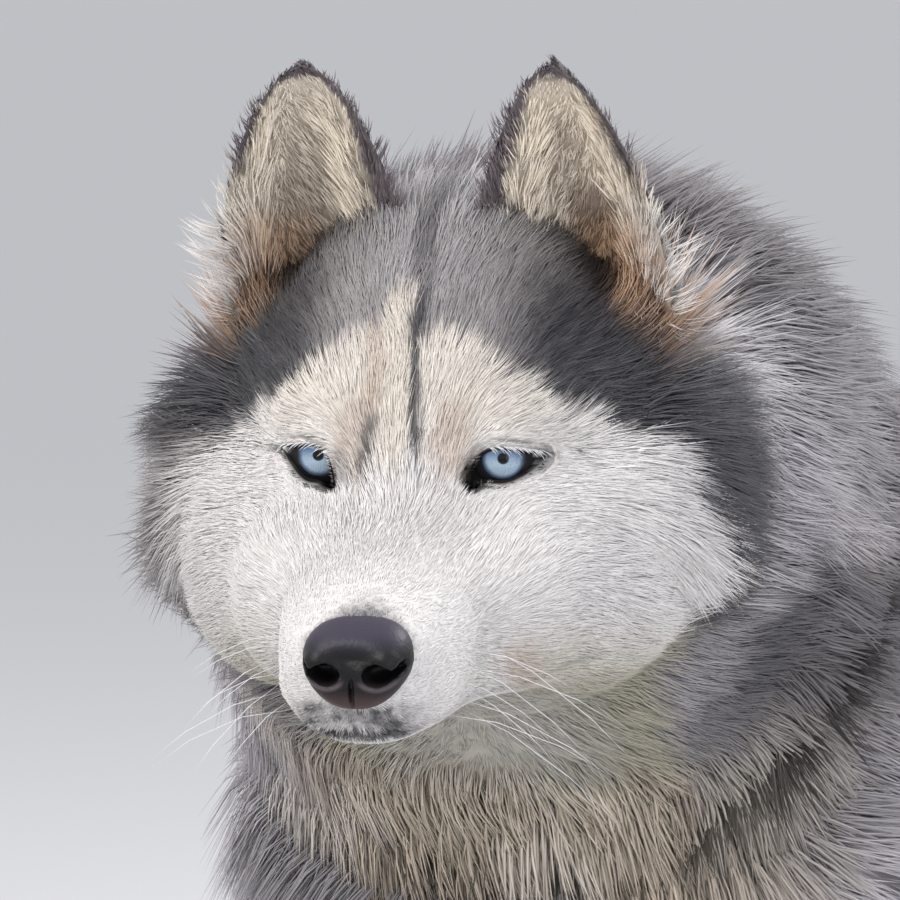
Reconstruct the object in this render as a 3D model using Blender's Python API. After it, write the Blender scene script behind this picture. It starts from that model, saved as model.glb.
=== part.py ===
"""Siberian husky standing on four legs with its head turned to its left, life size.

Metres, +Z up. The dog faces -Y and its left side is +X. The origin is at the floor,
in the middle of the whole animal.
"""

import math
import random

import bmesh
import bpy
import numpy as np
from mathutils import Matrix, Vector
from mathutils.bvhtree import BVHTree

# Driving dimensions of the body, taken over the coat
WITHERS = 0.600
GAP = 0.0003
FAR = 2.0

# Place and turn of the head: the point between the pupils, then the angles
EYES_AT = Vector((0.080, -0.550, 0.590))
HEAD_TURN = math.radians(18)
HEAD_DROP = math.radians(15)

# Head sizes, in millimetres along the head's own axes: u left, f forward, h up
MM = 0.001
PUPIL_OUT = 32.0
GLOBE = 11.5
SLIT_LONG = 13.5
SLIT_TALL = 5.2
SLIT_DROP = 3.4
SLIT_SLANT = math.radians(22)
EYE_TURN = math.radians(26)
NOSE_AT = Vector((0.0, 93.0, -35.0))
NECK_CUT = -128.0

# Front to back along the muzzle: f, middle h, half width, reach up, reach down
MUZZLE = [
    (100, -45, 10, 8, 10),
    (95, -44, 22, 19, 21),
    (86, -43, 28.5, 22, 29),
    (70, -43, 32.5, 24, 34),
    (55, -43, 35, 26.5, 38),
    (35, -43, 36.5, 28.5, 42),
    (15, -42, 39, 29, 45),
    (-20, -40, 46, 32, 50),
    (-45, -38, 40, 20, 40),
]
# The skull, from the stop to the back of the head
SKULL = [
    (13, -22, 14, 10, 12),
    (7, -18, 32, 20, 24),
    (-2, -12, 46, 34, 36),
    (-16, -8, 57, 49, 48),
    (-40, -8, 67, 66, 66),
    (-70, -12, 75, 78, 80),
    (-100, -18, 76, 72, 84),
    (-135, -26, 74, 62, 84),
    (-160, -24, 50, 50, 50),
]
# The cheeks and their ruff, out to the tips of the hair that their locks reach
RUFF = [
    (6, -40, 30, 16, 30),
    (-6, -38, 58, 36, 56),
    (-24, -36, 84, 54, 78),
    (-48, -34, 103, 68, 98),
    (-78, -30, 109, 82, 106),
    (-110, -28, 108, 86, 104),
    (-150, -30, 96, 76, 90),
]
# Along the neck: x, y, z, half width, reach up, reach down
NECK = [
    (0.052, -0.465, 0.582, 0.092, 0.082, 0.092),
    (0.042, -0.415, 0.572, 0.119, 0.108, 0.114),
    (0.026, -0.355, 0.553, 0.133, 0.120, 0.132),
    (0.008, -0.290, 0.520, 0.138, 0.112, 0.146),
    (0.000, -0.220, 0.475, 0.124, 0.110, 0.150),
    (0.000, -0.160, 0.430, 0.080, 0.080, 0.100),
]
# Along the trunk: y, height of the back, height of the belly, half width
TRUNK = [
    (-0.372, 0.480, 0.410, 0.050),
    (-0.348, 0.530, 0.345, 0.108),
    (-0.270, 0.588, 0.292, 0.138),
    (-0.150, WITHERS, 0.272, 0.145),
    (-0.030, 0.583, 0.274, 0.146),
    (0.072, 0.572, 0.298, 0.137),
    (0.155, 0.572, 0.332, 0.126),
    (0.225, 0.562, 0.358, 0.119),
    (0.271, 0.535, 0.386, 0.098),
    (0.301, 0.500, 0.425, 0.052),
]
# Down each leg: x, y, z, half width, reach forward, reach back
UPPER_FORELEG = [
    (0.070, -0.185, 0.530, 0.030, 0.035, 0.035),
    (0.088, -0.215, 0.480, 0.044, 0.056, 0.060),
    (0.097, -0.245, 0.410, 0.048, 0.056, 0.072),
    (0.098, -0.215, 0.345, 0.044, 0.048, 0.064),
    (0.093, -0.190, 0.290, 0.036, 0.040, 0.046),
    (0.090, -0.188, 0.255, 0.030, 0.034, 0.036),
]
FORELEG = [
    (0.092, -0.188, 0.325, 0.030, 0.034, 0.040),
    (0.090, -0.188, 0.275, 0.033, 0.038, 0.044),
    (0.086, -0.194, 0.200, 0.028, 0.030, 0.034),
    (0.083, -0.198, 0.125, 0.025, 0.026, 0.028),
    (0.081, -0.202, 0.090, 0.026, 0.027, 0.027),
    (0.080, -0.212, 0.050, 0.027, 0.026, 0.025),
    (0.080, -0.222, 0.022, 0.024, 0.026, 0.024),
]
THIGH = [
    (0.055, 0.230, 0.510, 0.040, 0.050, 0.050),
    (0.080, 0.206, 0.450, 0.056, 0.088, 0.098),
    (0.096, 0.182, 0.385, 0.056, 0.084, 0.104),
    (0.104, 0.162, 0.325, 0.048, 0.062, 0.090),
    (0.105, 0.164, 0.275, 0.038, 0.046, 0.062),
]
HINDLEG = [
    (0.105, 0.148, 0.325, 0.036, 0.044, 0.050),
    (0.104, 0.173, 0.265, 0.037, 0.042, 0.050),
    (0.100, 0.216, 0.212, 0.030, 0.030, 0.036),
    (0.096, 0.256, 0.168, 0.026, 0.026, 0.030),
    (0.094, 0.266, 0.130, 0.024, 0.024, 0.026),
    (0.092, 0.264, 0.080, 0.024, 0.024, 0.023),
    (0.091, 0.254, 0.045, 0.026, 0.026, 0.024),
    (0.091, 0.244, 0.022, 0.024, 0.026, 0.022),
]
# Along the tail: x, y, z, half width, reach up, reach down
TAIL = [
    (0.000, 0.258, 0.525, 0.030, 0.022, 0.022),
    (0.000, 0.308, 0.514, 0.040, 0.034, 0.034),
    (0.006, 0.358, 0.474, 0.056, 0.052, 0.050),
    (0.014, 0.386, 0.410, 0.066, 0.064, 0.058),
    (0.020, 0.400, 0.338, 0.070, 0.068, 0.060),
    (0.024, 0.408, 0.264, 0.062, 0.060, 0.054),
    (0.024, 0.418, 0.202, 0.042, 0.042, 0.038),
    (0.022, 0.428, 0.160, 0.014, 0.014, 0.014),
]
# How far the solid core lies inside the tips of the locks
RUFF_CORE = 13.0
NECK_CORE = 0.014
TAIL_CORE = 0.62
PAW_LONG = 0.042
PAW_WIDE = 0.031
PAW_TALL = 0.025
TOE = 0.0150
EAR_ROWS = 8
EAR_COLUMNS = 6

# Cuts between the nodes
WRIST_Z = 0.058
ELBOW_Z = 0.285
STIFLE_Z = 0.290
TAIL_ROOT_Y = 0.322
TAIL_BEND_Z = 0.400
NECK_ROOT_Y = -0.318

HEAD_VOXEL = 0.0026
BODY_VOXEL = 0.0060
HEAD_FACES = 1900
BODY_FACES = 2200

# Locks of long hair: node, the most locks, spacing, length, width, lift, seed
LOCK_ZONES = [
    ("head", 64, 0.018, 0.062, 0.021, 1.1, 3),
    ("neck", 60, 0.024, 0.084, 0.027, 1.2, 5),
    ("torso", 26, 0.025, 0.084, 0.027, 1.2, 7),
    ("thigh_left", 9, 0.026, 0.074, 0.025, 1.3, 11),
    ("thigh_right", 9, 0.026, 0.074, 0.025, 1.3, 13),
    ("tail_base", 11, 0.024, 0.078, 0.026, 1.5, 17),
    ("tail_brush", 26, 0.022, 0.086, 0.026, 1.7, 19),
]
# Along a lock: share of its length, height over the core, share of its width
LOCK_SHAPE = [(0.0, -0.006, 0.80), (0.34, 0.004, 1.00), (0.72, 0.009, 0.62), (1.0, 0.013, 0.0)]
LOCK_THICK = 0.26
LOCK_CLEAR = 0.0008

COAT_GREY = (0.20, 0.19, 0.20)
COAT_DARK = (0.06, 0.06, 0.065)
COAT_WHITE = (0.72, 0.70, 0.68)
NOSE_BLACK = (0.018, 0.017, 0.020)
EYE_BLUE = (0.35, 0.52, 0.66)


def clear_scene():
    for obj in list(bpy.data.objects):
        bpy.data.objects.remove(obj)


def material(name, colour, roughness):
    mat = bpy.data.materials.new(name)
    mat.use_nodes = True
    shader = mat.node_tree.nodes["Principled BSDF"]
    shader.inputs["Base Color"].default_value = (*colour, 1)
    shader.inputs["Roughness"].default_value = roughness
    return mat


def head_axes():
    """The head's left, forward and up as unit vectors in the world."""
    forward = Vector((
        math.cos(HEAD_DROP) * math.sin(HEAD_TURN),
        -math.cos(HEAD_DROP) * math.cos(HEAD_TURN),
        -math.sin(HEAD_DROP),
    ))
    left = Vector((math.cos(HEAD_TURN), math.sin(HEAD_TURN), 0))
    return left, forward, forward.cross(left)


LEFT, FORWARD, UP = head_axes()


def head_point(u, f, h):
    return EYES_AT + (LEFT * u + FORWARD * f + UP * h) * MM


def head_turn():
    """The rotation whose x, y and z are the head's left, forward and up."""
    return Matrix((LEFT, FORWARD, UP)).transposed()


def smooth_rows(rows, steps):
    """Rows of numbers joined by a Catmull-Rom curve, with steps between each two."""
    rows = np.array(rows, float)
    padded = np.vstack([2 * rows[0] - rows[1], rows, 2 * rows[-1] - rows[-2]])
    found = []
    for i in range(len(rows) - 1):
        a, b, c, d = padded[i:i + 4]
        for t in np.arange(steps) / steps:
            found.append(0.5 * (
                2 * b + (c - a) * t + (2 * a - 5 * b + 4 * c - d) * t**2
                + (3 * b - a - 3 * c + d) * t**3
            ))
    found.append(rows[-1])
    return found


def mesh_object(name, points, faces):
    mesh = bpy.data.meshes.new(name)
    mesh.from_pydata([tuple(p) for p in points], [], faces)
    mesh.validate()
    obj = bpy.data.objects.new(name, mesh)
    bpy.context.scene.collection.objects.link(obj)
    return obj


def face_outwards(obj):
    shape = bmesh.new()
    shape.from_mesh(obj.data)
    bmesh.ops.recalc_face_normals(shape, faces=shape.faces)
    shape.to_mesh(obj.data)
    shape.free()
    return obj


def rings_object(name, rings):
    """A closed body over rings of points, each end closed at its middle."""
    count = len(rings[0])
    points = [p for ring in rings for p in ring]
    faces = []
    for r in range(len(rings) - 1):
        for i in range(count):
            j = (i + 1) % count
            a, b = r * count, (r + 1) * count
            faces.append((a + i, a + j, b + j, b + i))
    for start, ring in ((0, rings[0]), ((len(rings) - 1) * count, rings[-1])):
        points.append(sum(ring, Vector()) / count)
        for i in range(count):
            faces.append((start + i, start + (i + 1) % count, len(points) - 1))
    return face_outwards(mesh_object(name, points, faces))


def oval(centre, across, upward, wide, above, below, boxy, sides):
    """Points of one section. boxy 1 is an oval, and less is squarer."""
    ring = []
    for i in range(sides):
        angle = math.tau * i / sides
        c, s = math.cos(angle), math.sin(angle)
        x = math.copysign(abs(c) ** boxy, c) * wide
        y = math.copysign(abs(s) ** boxy, s) * (above if s > 0 else below)
        ring.append(centre + across * x + upward * y)
    return ring


def tube(name, rows, across, boxy=1.0, sides=28, steps=4, grow=0.0):
    """A limb or neck along rows of x, y, z, half width, reach above and reach below.

    On a leg, which runs down, above is forward and below is back.
    """
    rows = smooth_rows(rows, steps)
    centres = [Vector(row[:3]) for row in rows]
    centres[0] += (centres[0] - centres[1]).normalized() * grow
    centres[-1] += (centres[-1] - centres[-2]).normalized() * grow
    rings = []
    down = centres[-1].z < centres[0].z - 0.1 and centres[-1].y < centres[0].y + 0.1
    for i, row in enumerate(rows):
        ahead = centres[min(i + 1, len(rows) - 1)] - centres[max(i - 1, 0)]
        upward = across.cross(ahead).normalized()
        side = ahead.cross(upward).normalized()
        if down:
            upward = -upward
        wide, above, below = (value + grow for value in row[3:6])
        rings.append(oval(centres[i], side, upward, wide, above, below, boxy, sides))
    return rings_object(name, rings)


def head_tube(name, rows, boxy=1.0, sides=36, steps=4):
    """A form of the head along rows of f, middle h, half width, reach up and reach down."""
    rings = []
    for f, h, wide, above, below in smooth_rows(rows, steps):
        ring = oval(Vector((0, f, h)), Vector((1, 0, 0)), Vector((0, 0, 1)),
                    wide, above, below, boxy, sides)
        rings.append([head_point(*p) for p in ring])
    return rings_object(name, rings)


def ball(name, centre, radii, turn=None, rings=8, sides=12):
    """An ellipsoid of three radii, turned by a rotation matrix."""
    turn = turn or Matrix.Identity(3)
    layers = []
    for i in range(1, rings):
        polar = math.pi * i / rings
        layer = []
        for j in range(sides):
            around = math.tau * j / sides
            local = Vector((
                radii[0] * math.sin(polar) * math.cos(around),
                radii[1] * math.sin(polar) * math.sin(around),
                radii[2] * math.cos(polar),
            ))
            layer.append(centre + turn @ local)
        layers.append(layer)
    obj = rings_object(name, layers)
    poles = obj.data.vertices
    poles[len(poles) - 2].co = centre + turn @ Vector((0, 0, radii[2]))
    poles[len(poles) - 1].co = centre - turn @ Vector((0, 0, radii[2]))
    return obj


def head_ball(name, u, f, h, radii, tilt=0.0):
    turn = head_turn() @ Matrix.Rotation(tilt, 3, "Y")
    return ball(name, head_point(u, f, h), [r * MM for r in radii], turn)


def block(name, low, high, turn=None, origin=None):
    """A box between two corners, in the world or along turned axes at an origin."""
    turn = turn or Matrix.Identity(3)
    origin = origin or Vector()
    corners = [
        origin + turn @ Vector((x, y, z))
        for x in (low[0], high[0]) for y in (low[1], high[1]) for z in (low[2], high[2])
    ]
    faces = [(0, 1, 3, 2), (4, 6, 7, 5), (0, 4, 5, 1), (2, 3, 7, 6), (0, 2, 6, 4), (1, 5, 7, 3)]
    return face_outwards(mesh_object(name, corners, faces))


def prism(name, outline, half_width):
    """An outline of f and h in the head's middle plane, carried out to both sides."""
    points = [head_point(u, f, h) for u in (-half_width, half_width) for f, h in outline]
    count = len(outline)
    faces = [tuple(range(count)), tuple(range(count, 2 * count))]
    for i in range(count):
        j = (i + 1) % count
        faces.append((i, j, count + j, count + i))
    return face_outwards(mesh_object(name, points, faces))


def copy_of(obj, name):
    twin = bpy.data.objects.new(name, obj.data.copy())
    bpy.context.scene.collection.objects.link(twin)
    return twin


def drop(*objects):
    for obj in objects:
        bpy.data.objects.remove(obj)


def apply_modifiers(obj):
    """The object with its modifiers made part of its mesh."""
    graph = bpy.context.evaluated_depsgraph_get()
    graph.update()
    mesh = bpy.data.meshes.new_from_object(obj.evaluated_get(graph))
    obj.modifiers.clear()
    obj.data = mesh
    return obj


def boolean(obj, other, operation, remove=True):
    step = obj.modifiers.new(operation, "BOOLEAN")
    step.operation = operation
    step.solver = "EXACT"
    step.object = other
    apply_modifiers(obj)
    if remove:
        drop(other)
    return obj


def keep_largest(obj):
    """Only the largest closed surface of the object stays."""
    shape = bmesh.new()
    shape.from_mesh(obj.data)
    left = set(shape.faces)
    groups = []
    while left:
        group = set()
        edge = [left.pop()]
        while edge:
            face = edge.pop()
            group.add(face)
            for side in face.edges:
                for other in side.link_faces:
                    if other in left:
                        left.discard(other)
                        edge.append(other)
        groups.append(group)
    groups.sort(key=lambda group: sum(face.calc_area() for face in group))
    scraps = [face for group in groups[:-1] for face in group]
    bmesh.ops.delete(shape, geom=scraps, context="FACES")
    loose = [v for v in shape.verts if not v.link_faces]
    bmesh.ops.delete(shape, geom=loose, context="VERTS")
    shape.to_mesh(obj.data)
    shape.free()
    return obj


def fuse(name, objects, voxel, rounds, faces):
    """The forms melted into one body, smoothed, then thinned to about so many triangles."""
    shape = bmesh.new()
    for obj in objects:
        shape.from_mesh(obj.data)
    mesh = bpy.data.meshes.new(name)
    shape.to_mesh(mesh)
    shape.free()
    drop(*objects)
    body = bpy.data.objects.new(name, mesh)
    bpy.context.scene.collection.objects.link(body)
    melt = body.modifiers.new("melt", "REMESH")
    melt.mode = "VOXEL"
    melt.voxel_size = voxel
    soft = body.modifiers.new("soft", "SMOOTH")
    soft.factor = 0.5
    soft.iterations = rounds
    apply_modifiers(body)
    keep_largest(body)
    thin = body.modifiers.new("thin", "DECIMATE")
    thin.ratio = min(1.0, faces / (2 * len(body.data.polygons)))
    thin.use_collapse_triangulate = True
    return apply_modifiers(body)


def wrapped(obj):
    """The object as its convex hull."""
    shape = bmesh.new()
    for vertex in obj.data.vertices:
        shape.verts.new(vertex.co)
    bmesh.ops.convex_hull(shape, input=shape.verts)
    inner = [v for v in shape.verts if not v.link_faces]
    bmesh.ops.delete(shape, geom=inner, context="VERTS")
    shape.to_mesh(obj.data)
    shape.free()
    return face_outwards(obj)


def mirror_rows(rows, side):
    return [(row[0] * side, *row[1:]) for row in rows]


def trunk_rows():
    """Trunk rows as centre, half width and reaches, widest a little below the middle."""
    rows = []
    for y, top, bottom, wide in TRUNK:
        middle = bottom + 0.48 * (top - bottom)
        rows.append((0, y, middle, wide, top - middle, middle - bottom))
    return rows


def paw(name, x, y, side):
    """A paw with four toes whose soles reach just below the floor, to be trimmed flat."""
    forms = [ball(name, Vector((x, y, PAW_TALL * 0.85)), (PAW_WIDE, PAW_LONG, PAW_TALL))]
    for i in range(4):
        across = (i - 1.5) * 0.0155 * side
        reach = 0.034 if i in (1, 2) else 0.026
        at = Vector((x + across, y - reach, TOE * 0.9))
        forms.append(ball(name, at, (TOE * 0.66, TOE * 1.2, TOE)))
    return forms


def leg_forms(side):
    right = Vector((1, 0, 0))
    forms = [
        tube("form", mirror_rows(rows, side), right)
        for rows in (UPPER_FORELEG, FORELEG, THIGH, HINDLEG)
    ]
    forms += paw("form", FORELEG[-1][0] * side, FORELEG[-1][1] - 0.012, side)
    forms += paw("form", HINDLEG[-1][0] * side, HINDLEG[-1][1] - 0.012, side)
    return forms


def neck_form(last=len(NECK)):
    half = HEAD_TURN / 2
    rows = [row[:3] + tuple(reach - NECK_CORE for reach in row[3:]) for row in NECK[:last]]
    return tube("form", rows, Vector((math.cos(half), math.sin(half), 0)), steps=5)


def ruff_rows():
    """The ruff's rows drawn in from the tips of its locks, more so towards the back."""
    rows = []
    for f, h, *reaches in RUFF:
        inset = RUFF_CORE * min(1.0, max(0.0, (12 - f) / 50))
        rows.append((f, h, *(reach - inset for reach in reaches)))
    return rows


def tail_rows():
    """The tail's rows drawn in from the tips of its locks, past its root."""
    rows = []
    for i, row in enumerate(TAIL):
        share = 1.0 if i == 0 else TAIL_CORE
        rows.append(row[:3] + tuple(reach * share for reach in row[3:]))
    return rows


def body_forms():
    right = Vector((1, 0, 0))
    forms = [
        tube("form", trunk_rows(), right, boxy=0.92, steps=5),
        neck_form(),
        tube("form", tail_rows(), right),
    ]
    for side in (-1, 1):
        forms += leg_forms(side)
    return forms


def head_forms():
    forms = [
        head_tube("form", MUZZLE, boxy=0.82),
        head_tube("form", SKULL),
        head_tube("form", ruff_rows()),
        neck_form(3),
    ]
    for side in (-1, 1):
        forms += [
            head_ball("form", side * 27, -13, 12, (23, 14, 11), side * 0.3),
            head_ball("form", side * 17, 72, -52, (16, 20, 15)),
        ]
    return forms


def eye_turn(side):
    """The rotation of an eye, whose y looks out of it."""
    out = Matrix.Rotation(-side * EYE_TURN, 3, "Z")
    return head_turn() @ out


def eye(name, side, grow=0.0):
    globe = GLOBE * MM
    centre = head_point(side * PUPIL_OUT, 0, 0) - eye_turn(side) @ Vector((0, globe, 0))
    radius = globe + grow
    return ball(name, centre, (radius, radius, radius), eye_turn(side), 8, 14)


def slit_point(side, angle, out, grow=0.0):
    """A point on the almond outline of the lids, the inner corner lower than the outer."""
    long = (SLIT_LONG + grow) * math.cos(angle)
    tall = (SLIT_TALL + grow) * math.sin(angle) * (1 - 0.25 * math.cos(angle) ** 2)
    x = long * math.cos(SLIT_SLANT) - tall * math.sin(SLIT_SLANT)
    z = long * math.sin(SLIT_SLANT) + tall * math.cos(SLIT_SLANT) - SLIT_DROP
    local = Vector((side * x, out, z)) * MM
    return head_point(side * PUPIL_OUT, 0, 0) + eye_turn(side) @ local


def slit_cutter(side):
    """The opening between the lids, through the coat to the globe."""
    turns = [math.tau * i / 20 for i in range(20)]
    rings = [[slit_point(side, a, out) for a in turns] for out in (-9, 16)]
    return rings_object("cutter", rings)


def lid_ring(side):
    """A ridge of lid that runs round the opening."""
    count = 20
    points = []
    for i in range(count):
        angle = math.tau * i / count
        out = -1.8 - 3.2 * math.cos(angle) ** 2
        centre = slit_point(side, angle, out, 1.0)
        outer = slit_point(side, angle, out, 3.4)
        away = outer - centre
        ahead = eye_turn(side) @ Vector((0, 2.0 * MM, 0))
        for j in range(6):
            turn = math.tau * j / 6
            points.append(centre + away * math.cos(turn) + ahead * math.sin(turn))
    faces = []
    for i in range(count):
        for j in range(6):
            a, b = i * 6, (i + 1) % count * 6
            faces.append((a + j, b + j, b + (j + 1) % 6, a + (j + 1) % 6))
    return face_outwards(mesh_object("lid", points, faces))


def nose_tube(name, grow=0.0):
    """The nose pad: half width, reach up and reach down from front to back."""
    rows = [
        (16.5, 1, 7, 5, 7), (15, 0.5, 12.5, 9, 11), (10, 0, 16.5, 13, 13.5),
        (3, 0, 18, 14.5, 13), (-8, -1, 17, 14, 11),
    ]
    rings = []
    for f, h, wide, above, below in smooth_rows(rows, 2):
        ring = oval(Vector((0, f, h)), Vector((1, 0, 0)), Vector((0, 0, 1)),
                    wide + grow, above + grow, below + grow, 0.85, 14)
        rings.append([head_point(*(NOSE_AT + p)) for p in ring])
    return rings_object(name, rings)


def nose(name):
    pad = nose_tube(name)
    for side in (-1, 1):
        at = NOSE_AT + Vector((side * 9.5, 14, -3))
        hollow = head_ball("cutter", *at, (4.6, 8, 3.8), side * 0.5)
        boolean(pad, hollow, "DIFFERENCE")
        slot_at = NOSE_AT + Vector((side * 15.5, 10, -6))
        slot = head_ball("cutter", *slot_at, (5.5, 7, 1.5), side * 0.5)
        boolean(pad, slot, "DIFFERENCE")
    groove = prism("cutter", [(NOSE_AT.y + f, NOSE_AT.z + h) for f, h in
                              ((14.5, -15), (20, -15), (20, -2), (15.5, -2))], 0.7)
    boolean(pad, groove, "DIFFERENCE")
    return keep_largest(pad)


def ear(name, side, grow=0.0):
    """An upright ear, hollow in front, rounded at its tip, its root sunk in the head."""
    inner = Vector((13, -70, 44))
    outer = Vector((73, -80, 20))
    tip = Vector((43.5, -62, 121))
    base = (inner + outer) / 2
    base -= (tip - base).normalized() * grow / MM
    front, back = [], []
    for i in range(EAR_ROWS + 1):
        rise = math.sin(i / EAR_ROWS * math.pi / 2)
        wide = 33.0 * max(0.0, 1 - rise**2.1) ** 0.62 + 1.2
        centre = base.lerp(tip, rise) + Vector((2.5, 0, 0)) * math.sin(math.pi * rise)
        across = (outer - inner).normalized().lerp(Vector((0.97, 0.24, 0)), rise)
        across.normalize()
        behind = across.cross((tip - base).normalized()).normalized()
        if behind.y > 0:
            behind = -behind
        cup = 17 * (1 - rise) ** 0.7 + 1.5
        for j in range(EAR_COLUMNS + 1):
            t = 2 * j / EAR_COLUMNS - 1
            bow = 1 - t * t
            point = centre + across * t * (wide + 2 * grow / MM) + behind * cup * bow
            rear = point + behind * (1.0 + 3.6 * bow + 2 * grow / MM)
            point = point - behind * 2 * grow / MM
            front.append(head_point(side * point.x, point.y, point.z))
            back.append(head_point(side * rear.x, rear.y, rear.z))
    return sheet_object(name, front, back, EAR_ROWS + 1, EAR_COLUMNS + 1)


def sheet_object(name, front, back, rows, columns):
    """A closed sheet between two grids of points."""
    count = rows * columns
    faces = []
    for i in range(rows - 1):
        for j in range(columns - 1):
            a = i * columns + j
            b = a + columns
            for start in (0, count):
                faces.append((start + a, start + a + 1, start + b + 1))
                faces.append((start + a, start + b + 1, start + b))
    edge = list(range(columns))
    edge += [i * columns + columns - 1 for i in range(1, rows)]
    edge += list(range(count - 2, count - columns - 1, -1))
    edge += [i * columns for i in range(rows - 2, 0, -1)]
    for a, b in zip(edge, edge[1:] + edge[:1]):
        faces.append((a, b, count + b, count + a))
    return face_outwards(mesh_object(name, front + back, faces))


def jaw_region(grow=0.0):
    """What lies under the line of the mouth, from the chin back to its corners."""
    outline = [
        (112, -62.5 + grow), (92, -63 + grow), (60, -68.5 + grow), (35, -69 + grow),
        (16 - grow, -65 + grow), (10 - grow, -69), (-6 - grow, -135), (112, -135),
    ]
    return prism("jaw region", outline, 90)


def carve(body, name, region, region_grown):
    """The part of the body inside a region, cut out of it with a narrow gap."""
    piece = boolean(copy_of(body, name), region, "INTERSECT")
    boolean(body, region_grown, "DIFFERENCE")
    return keep_largest(piece)


def carve_block(body, name, low, high):
    wider = Vector((GAP, GAP, GAP))
    grown = block("region", Vector(low) - wider, Vector(high) + wider)
    return carve(body, name, block("region", low, high), grown)


def sided(low, high, side):
    """Corners of a box on the dog's left, or their mirror image on its right."""
    if side > 0:
        return low, high
    return (-high[0], *low[1:]), (-low[0], *high[1:])


def carve_leg(body, side, word):
    right = Vector((1, 0, 0))
    fore = sided((0.030, -0.360, -0.020), (0.190, -0.120, WRIST_Z), side)
    hind = sided((0.030, 0.130, -0.020), (0.190, 0.380, WRIST_Z), side)
    carve_block(body, "fore_paw_" + word, *fore)
    carve_block(body, "hind_paw_" + word, *hind)
    fore = sided((0.050, -0.330, WRIST_Z + GAP), (0.190, -0.140, ELBOW_Z), side)
    hind = sided((0.045, 0.060, WRIST_Z + GAP), (0.190, 0.380, STIFLE_Z), side)
    carve_block(body, "forearm_" + word, *fore)
    carve_block(body, "shank_" + word, *hind)
    for name, rows in (("upper_foreleg_", UPPER_FORELEG), ("thigh_", THIGH)):
        rows = mirror_rows(rows, side)
        region = wrapped(tube("region", rows, right, sides=12, steps=1, grow=0.006))
        grown = wrapped(tube("region", rows, right, sides=12, steps=1, grow=0.006 + 1.5 * GAP))
        carve(body, name + word, region, grown)


def cut_behind_head(body, back):
    """Keeps what lies in front of the neck cut, or behind it with a gap."""
    origin = head_point(0, NECK_CUT, 0)
    low, high = (-FAR, 0.0, -FAR), (FAR, FAR, FAR)
    if back:
        low, high = (-FAR, -FAR, -FAR), (FAR, -GAP, FAR)
    region = block("region", low, high, head_turn(), origin)
    return keep_largest(boolean(body, region, "INTERSECT"))


def build_body():
    body = fuse("torso", body_forms(), BODY_VOXEL, 5, BODY_FACES)
    boolean(body, block("floor", (-0.5, -1, 0), (0.5, 1, 1)), "INTERSECT")
    cut_behind_head(body, back=True)
    for side, word in ((1, "left"), (-1, "right")):
        carve_leg(body, side, word)
    carve_block(body, "tail_brush", (-0.15, TAIL_ROOT_Y, 0.10), (0.15, 0.60, TAIL_BEND_Z))
    carve_block(body, "tail_base", (-0.15, TAIL_ROOT_Y, TAIL_BEND_Z + GAP), (0.15, 0.60, 0.60))
    carve_block(body, "neck", (-0.30, -0.70, 0.20), (0.30, NECK_ROOT_Y, 0.90))
    keep_largest(body)


def build_head():
    head = fuse("head", head_forms(), HEAD_VOXEL, 5, HEAD_FACES)
    cut_behind_head(head, back=False)
    for side, word in ((1, "left"), (-1, "right")):
        boolean(head, lid_ring(side), "UNION")
        boolean(head, slit_cutter(side), "DIFFERENCE")
        boolean(head, eye("cutter", side, GAP), "DIFFERENCE")
        boolean(head, ear("cutter", side, GAP), "DIFFERENCE")
        eye("eye_" + word, side)
        ear("ear_" + word, side)
    boolean(head, nose_tube("cutter", GAP / MM), "DIFFERENCE")
    nose("nose")
    carve(head, "lower_jaw", jaw_region(), jaw_region(GAP / MM))
    keep_largest(head)


def tangent(direction, normal):
    """The direction laid flat on a surface."""
    return (direction - normal * direction.dot(normal)).normalized()


def lie_of_coat(node, point):
    """Which way the long hair runs at a point of a node, or None where hair is short."""
    if node == "head":
        offset = (point - EYES_AT) / MM
        u, f, h = offset.dot(LEFT), offset.dot(FORWARD), offset.dot(UP)
        crown = h > 22 and abs(u) < 88 and f > -92
        if f > -22 or crown or (f > -45 and h > -10):
            return None
        return LEFT * math.copysign(0.45, u) - FORWARD + UP * (-0.35 if h < 20 else 0.0)
    if node == "neck":
        return Vector((0, 1, -0.62))
    if node == "torso":
        front = point.y < -0.335 and point.z > 0.33
        withers = point.y < -0.20 and point.z > 0.56
        return Vector((0, 0.5, -1)) if front else Vector((0, 1, -0.2)) if withers else None
    if node.startswith("thigh"):
        return Vector((0, 0.35, -1)) if point.y > 0.245 and point.z < 0.47 else None
    along = [Vector(row[:3]) for row in TAIL]
    nearest = min(range(1, len(along) - 1), key=lambda i: (along[i] - point).length)
    return along[nearest + 1] - along[nearest - 1]


def lock(core, root, normal, lie, length, width, lift, bend):
    """One flat lock that follows the core: root sunk, body bent to one side, tip raised."""
    ahead = tangent(lie, normal)
    points = []
    for along, rise, wide in LOCK_SHAPE:
        reach = root + ahead * length * along + ahead.cross(normal) * bend * along**2
        centre, outward, _, _ = core.find_nearest(reach)
        outward = normal.lerp(outward, 0.8).normalized()
        side = tangent(ahead, outward).cross(outward)
        centre = centre + outward * rise * (lift if rise > 0 else 1)
        half = side * width / 2 * wide
        thick = outward * width * wide * LOCK_THICK
        points += [centre - half, centre + thick, centre + half]
    points[-3:] = [centre]
    faces = [(0, 1, 2)]
    for ring in (0, 3):
        for j in range(3):
            a, b = ring + j, ring + (j + 1) % 3
            faces += [(a, b, b + 3), (a, b + 3, a + 3)]
    faces += [(6 + j, 6 + (j + 1) % 3, 9) for j in range(3)]
    return points, faces


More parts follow.
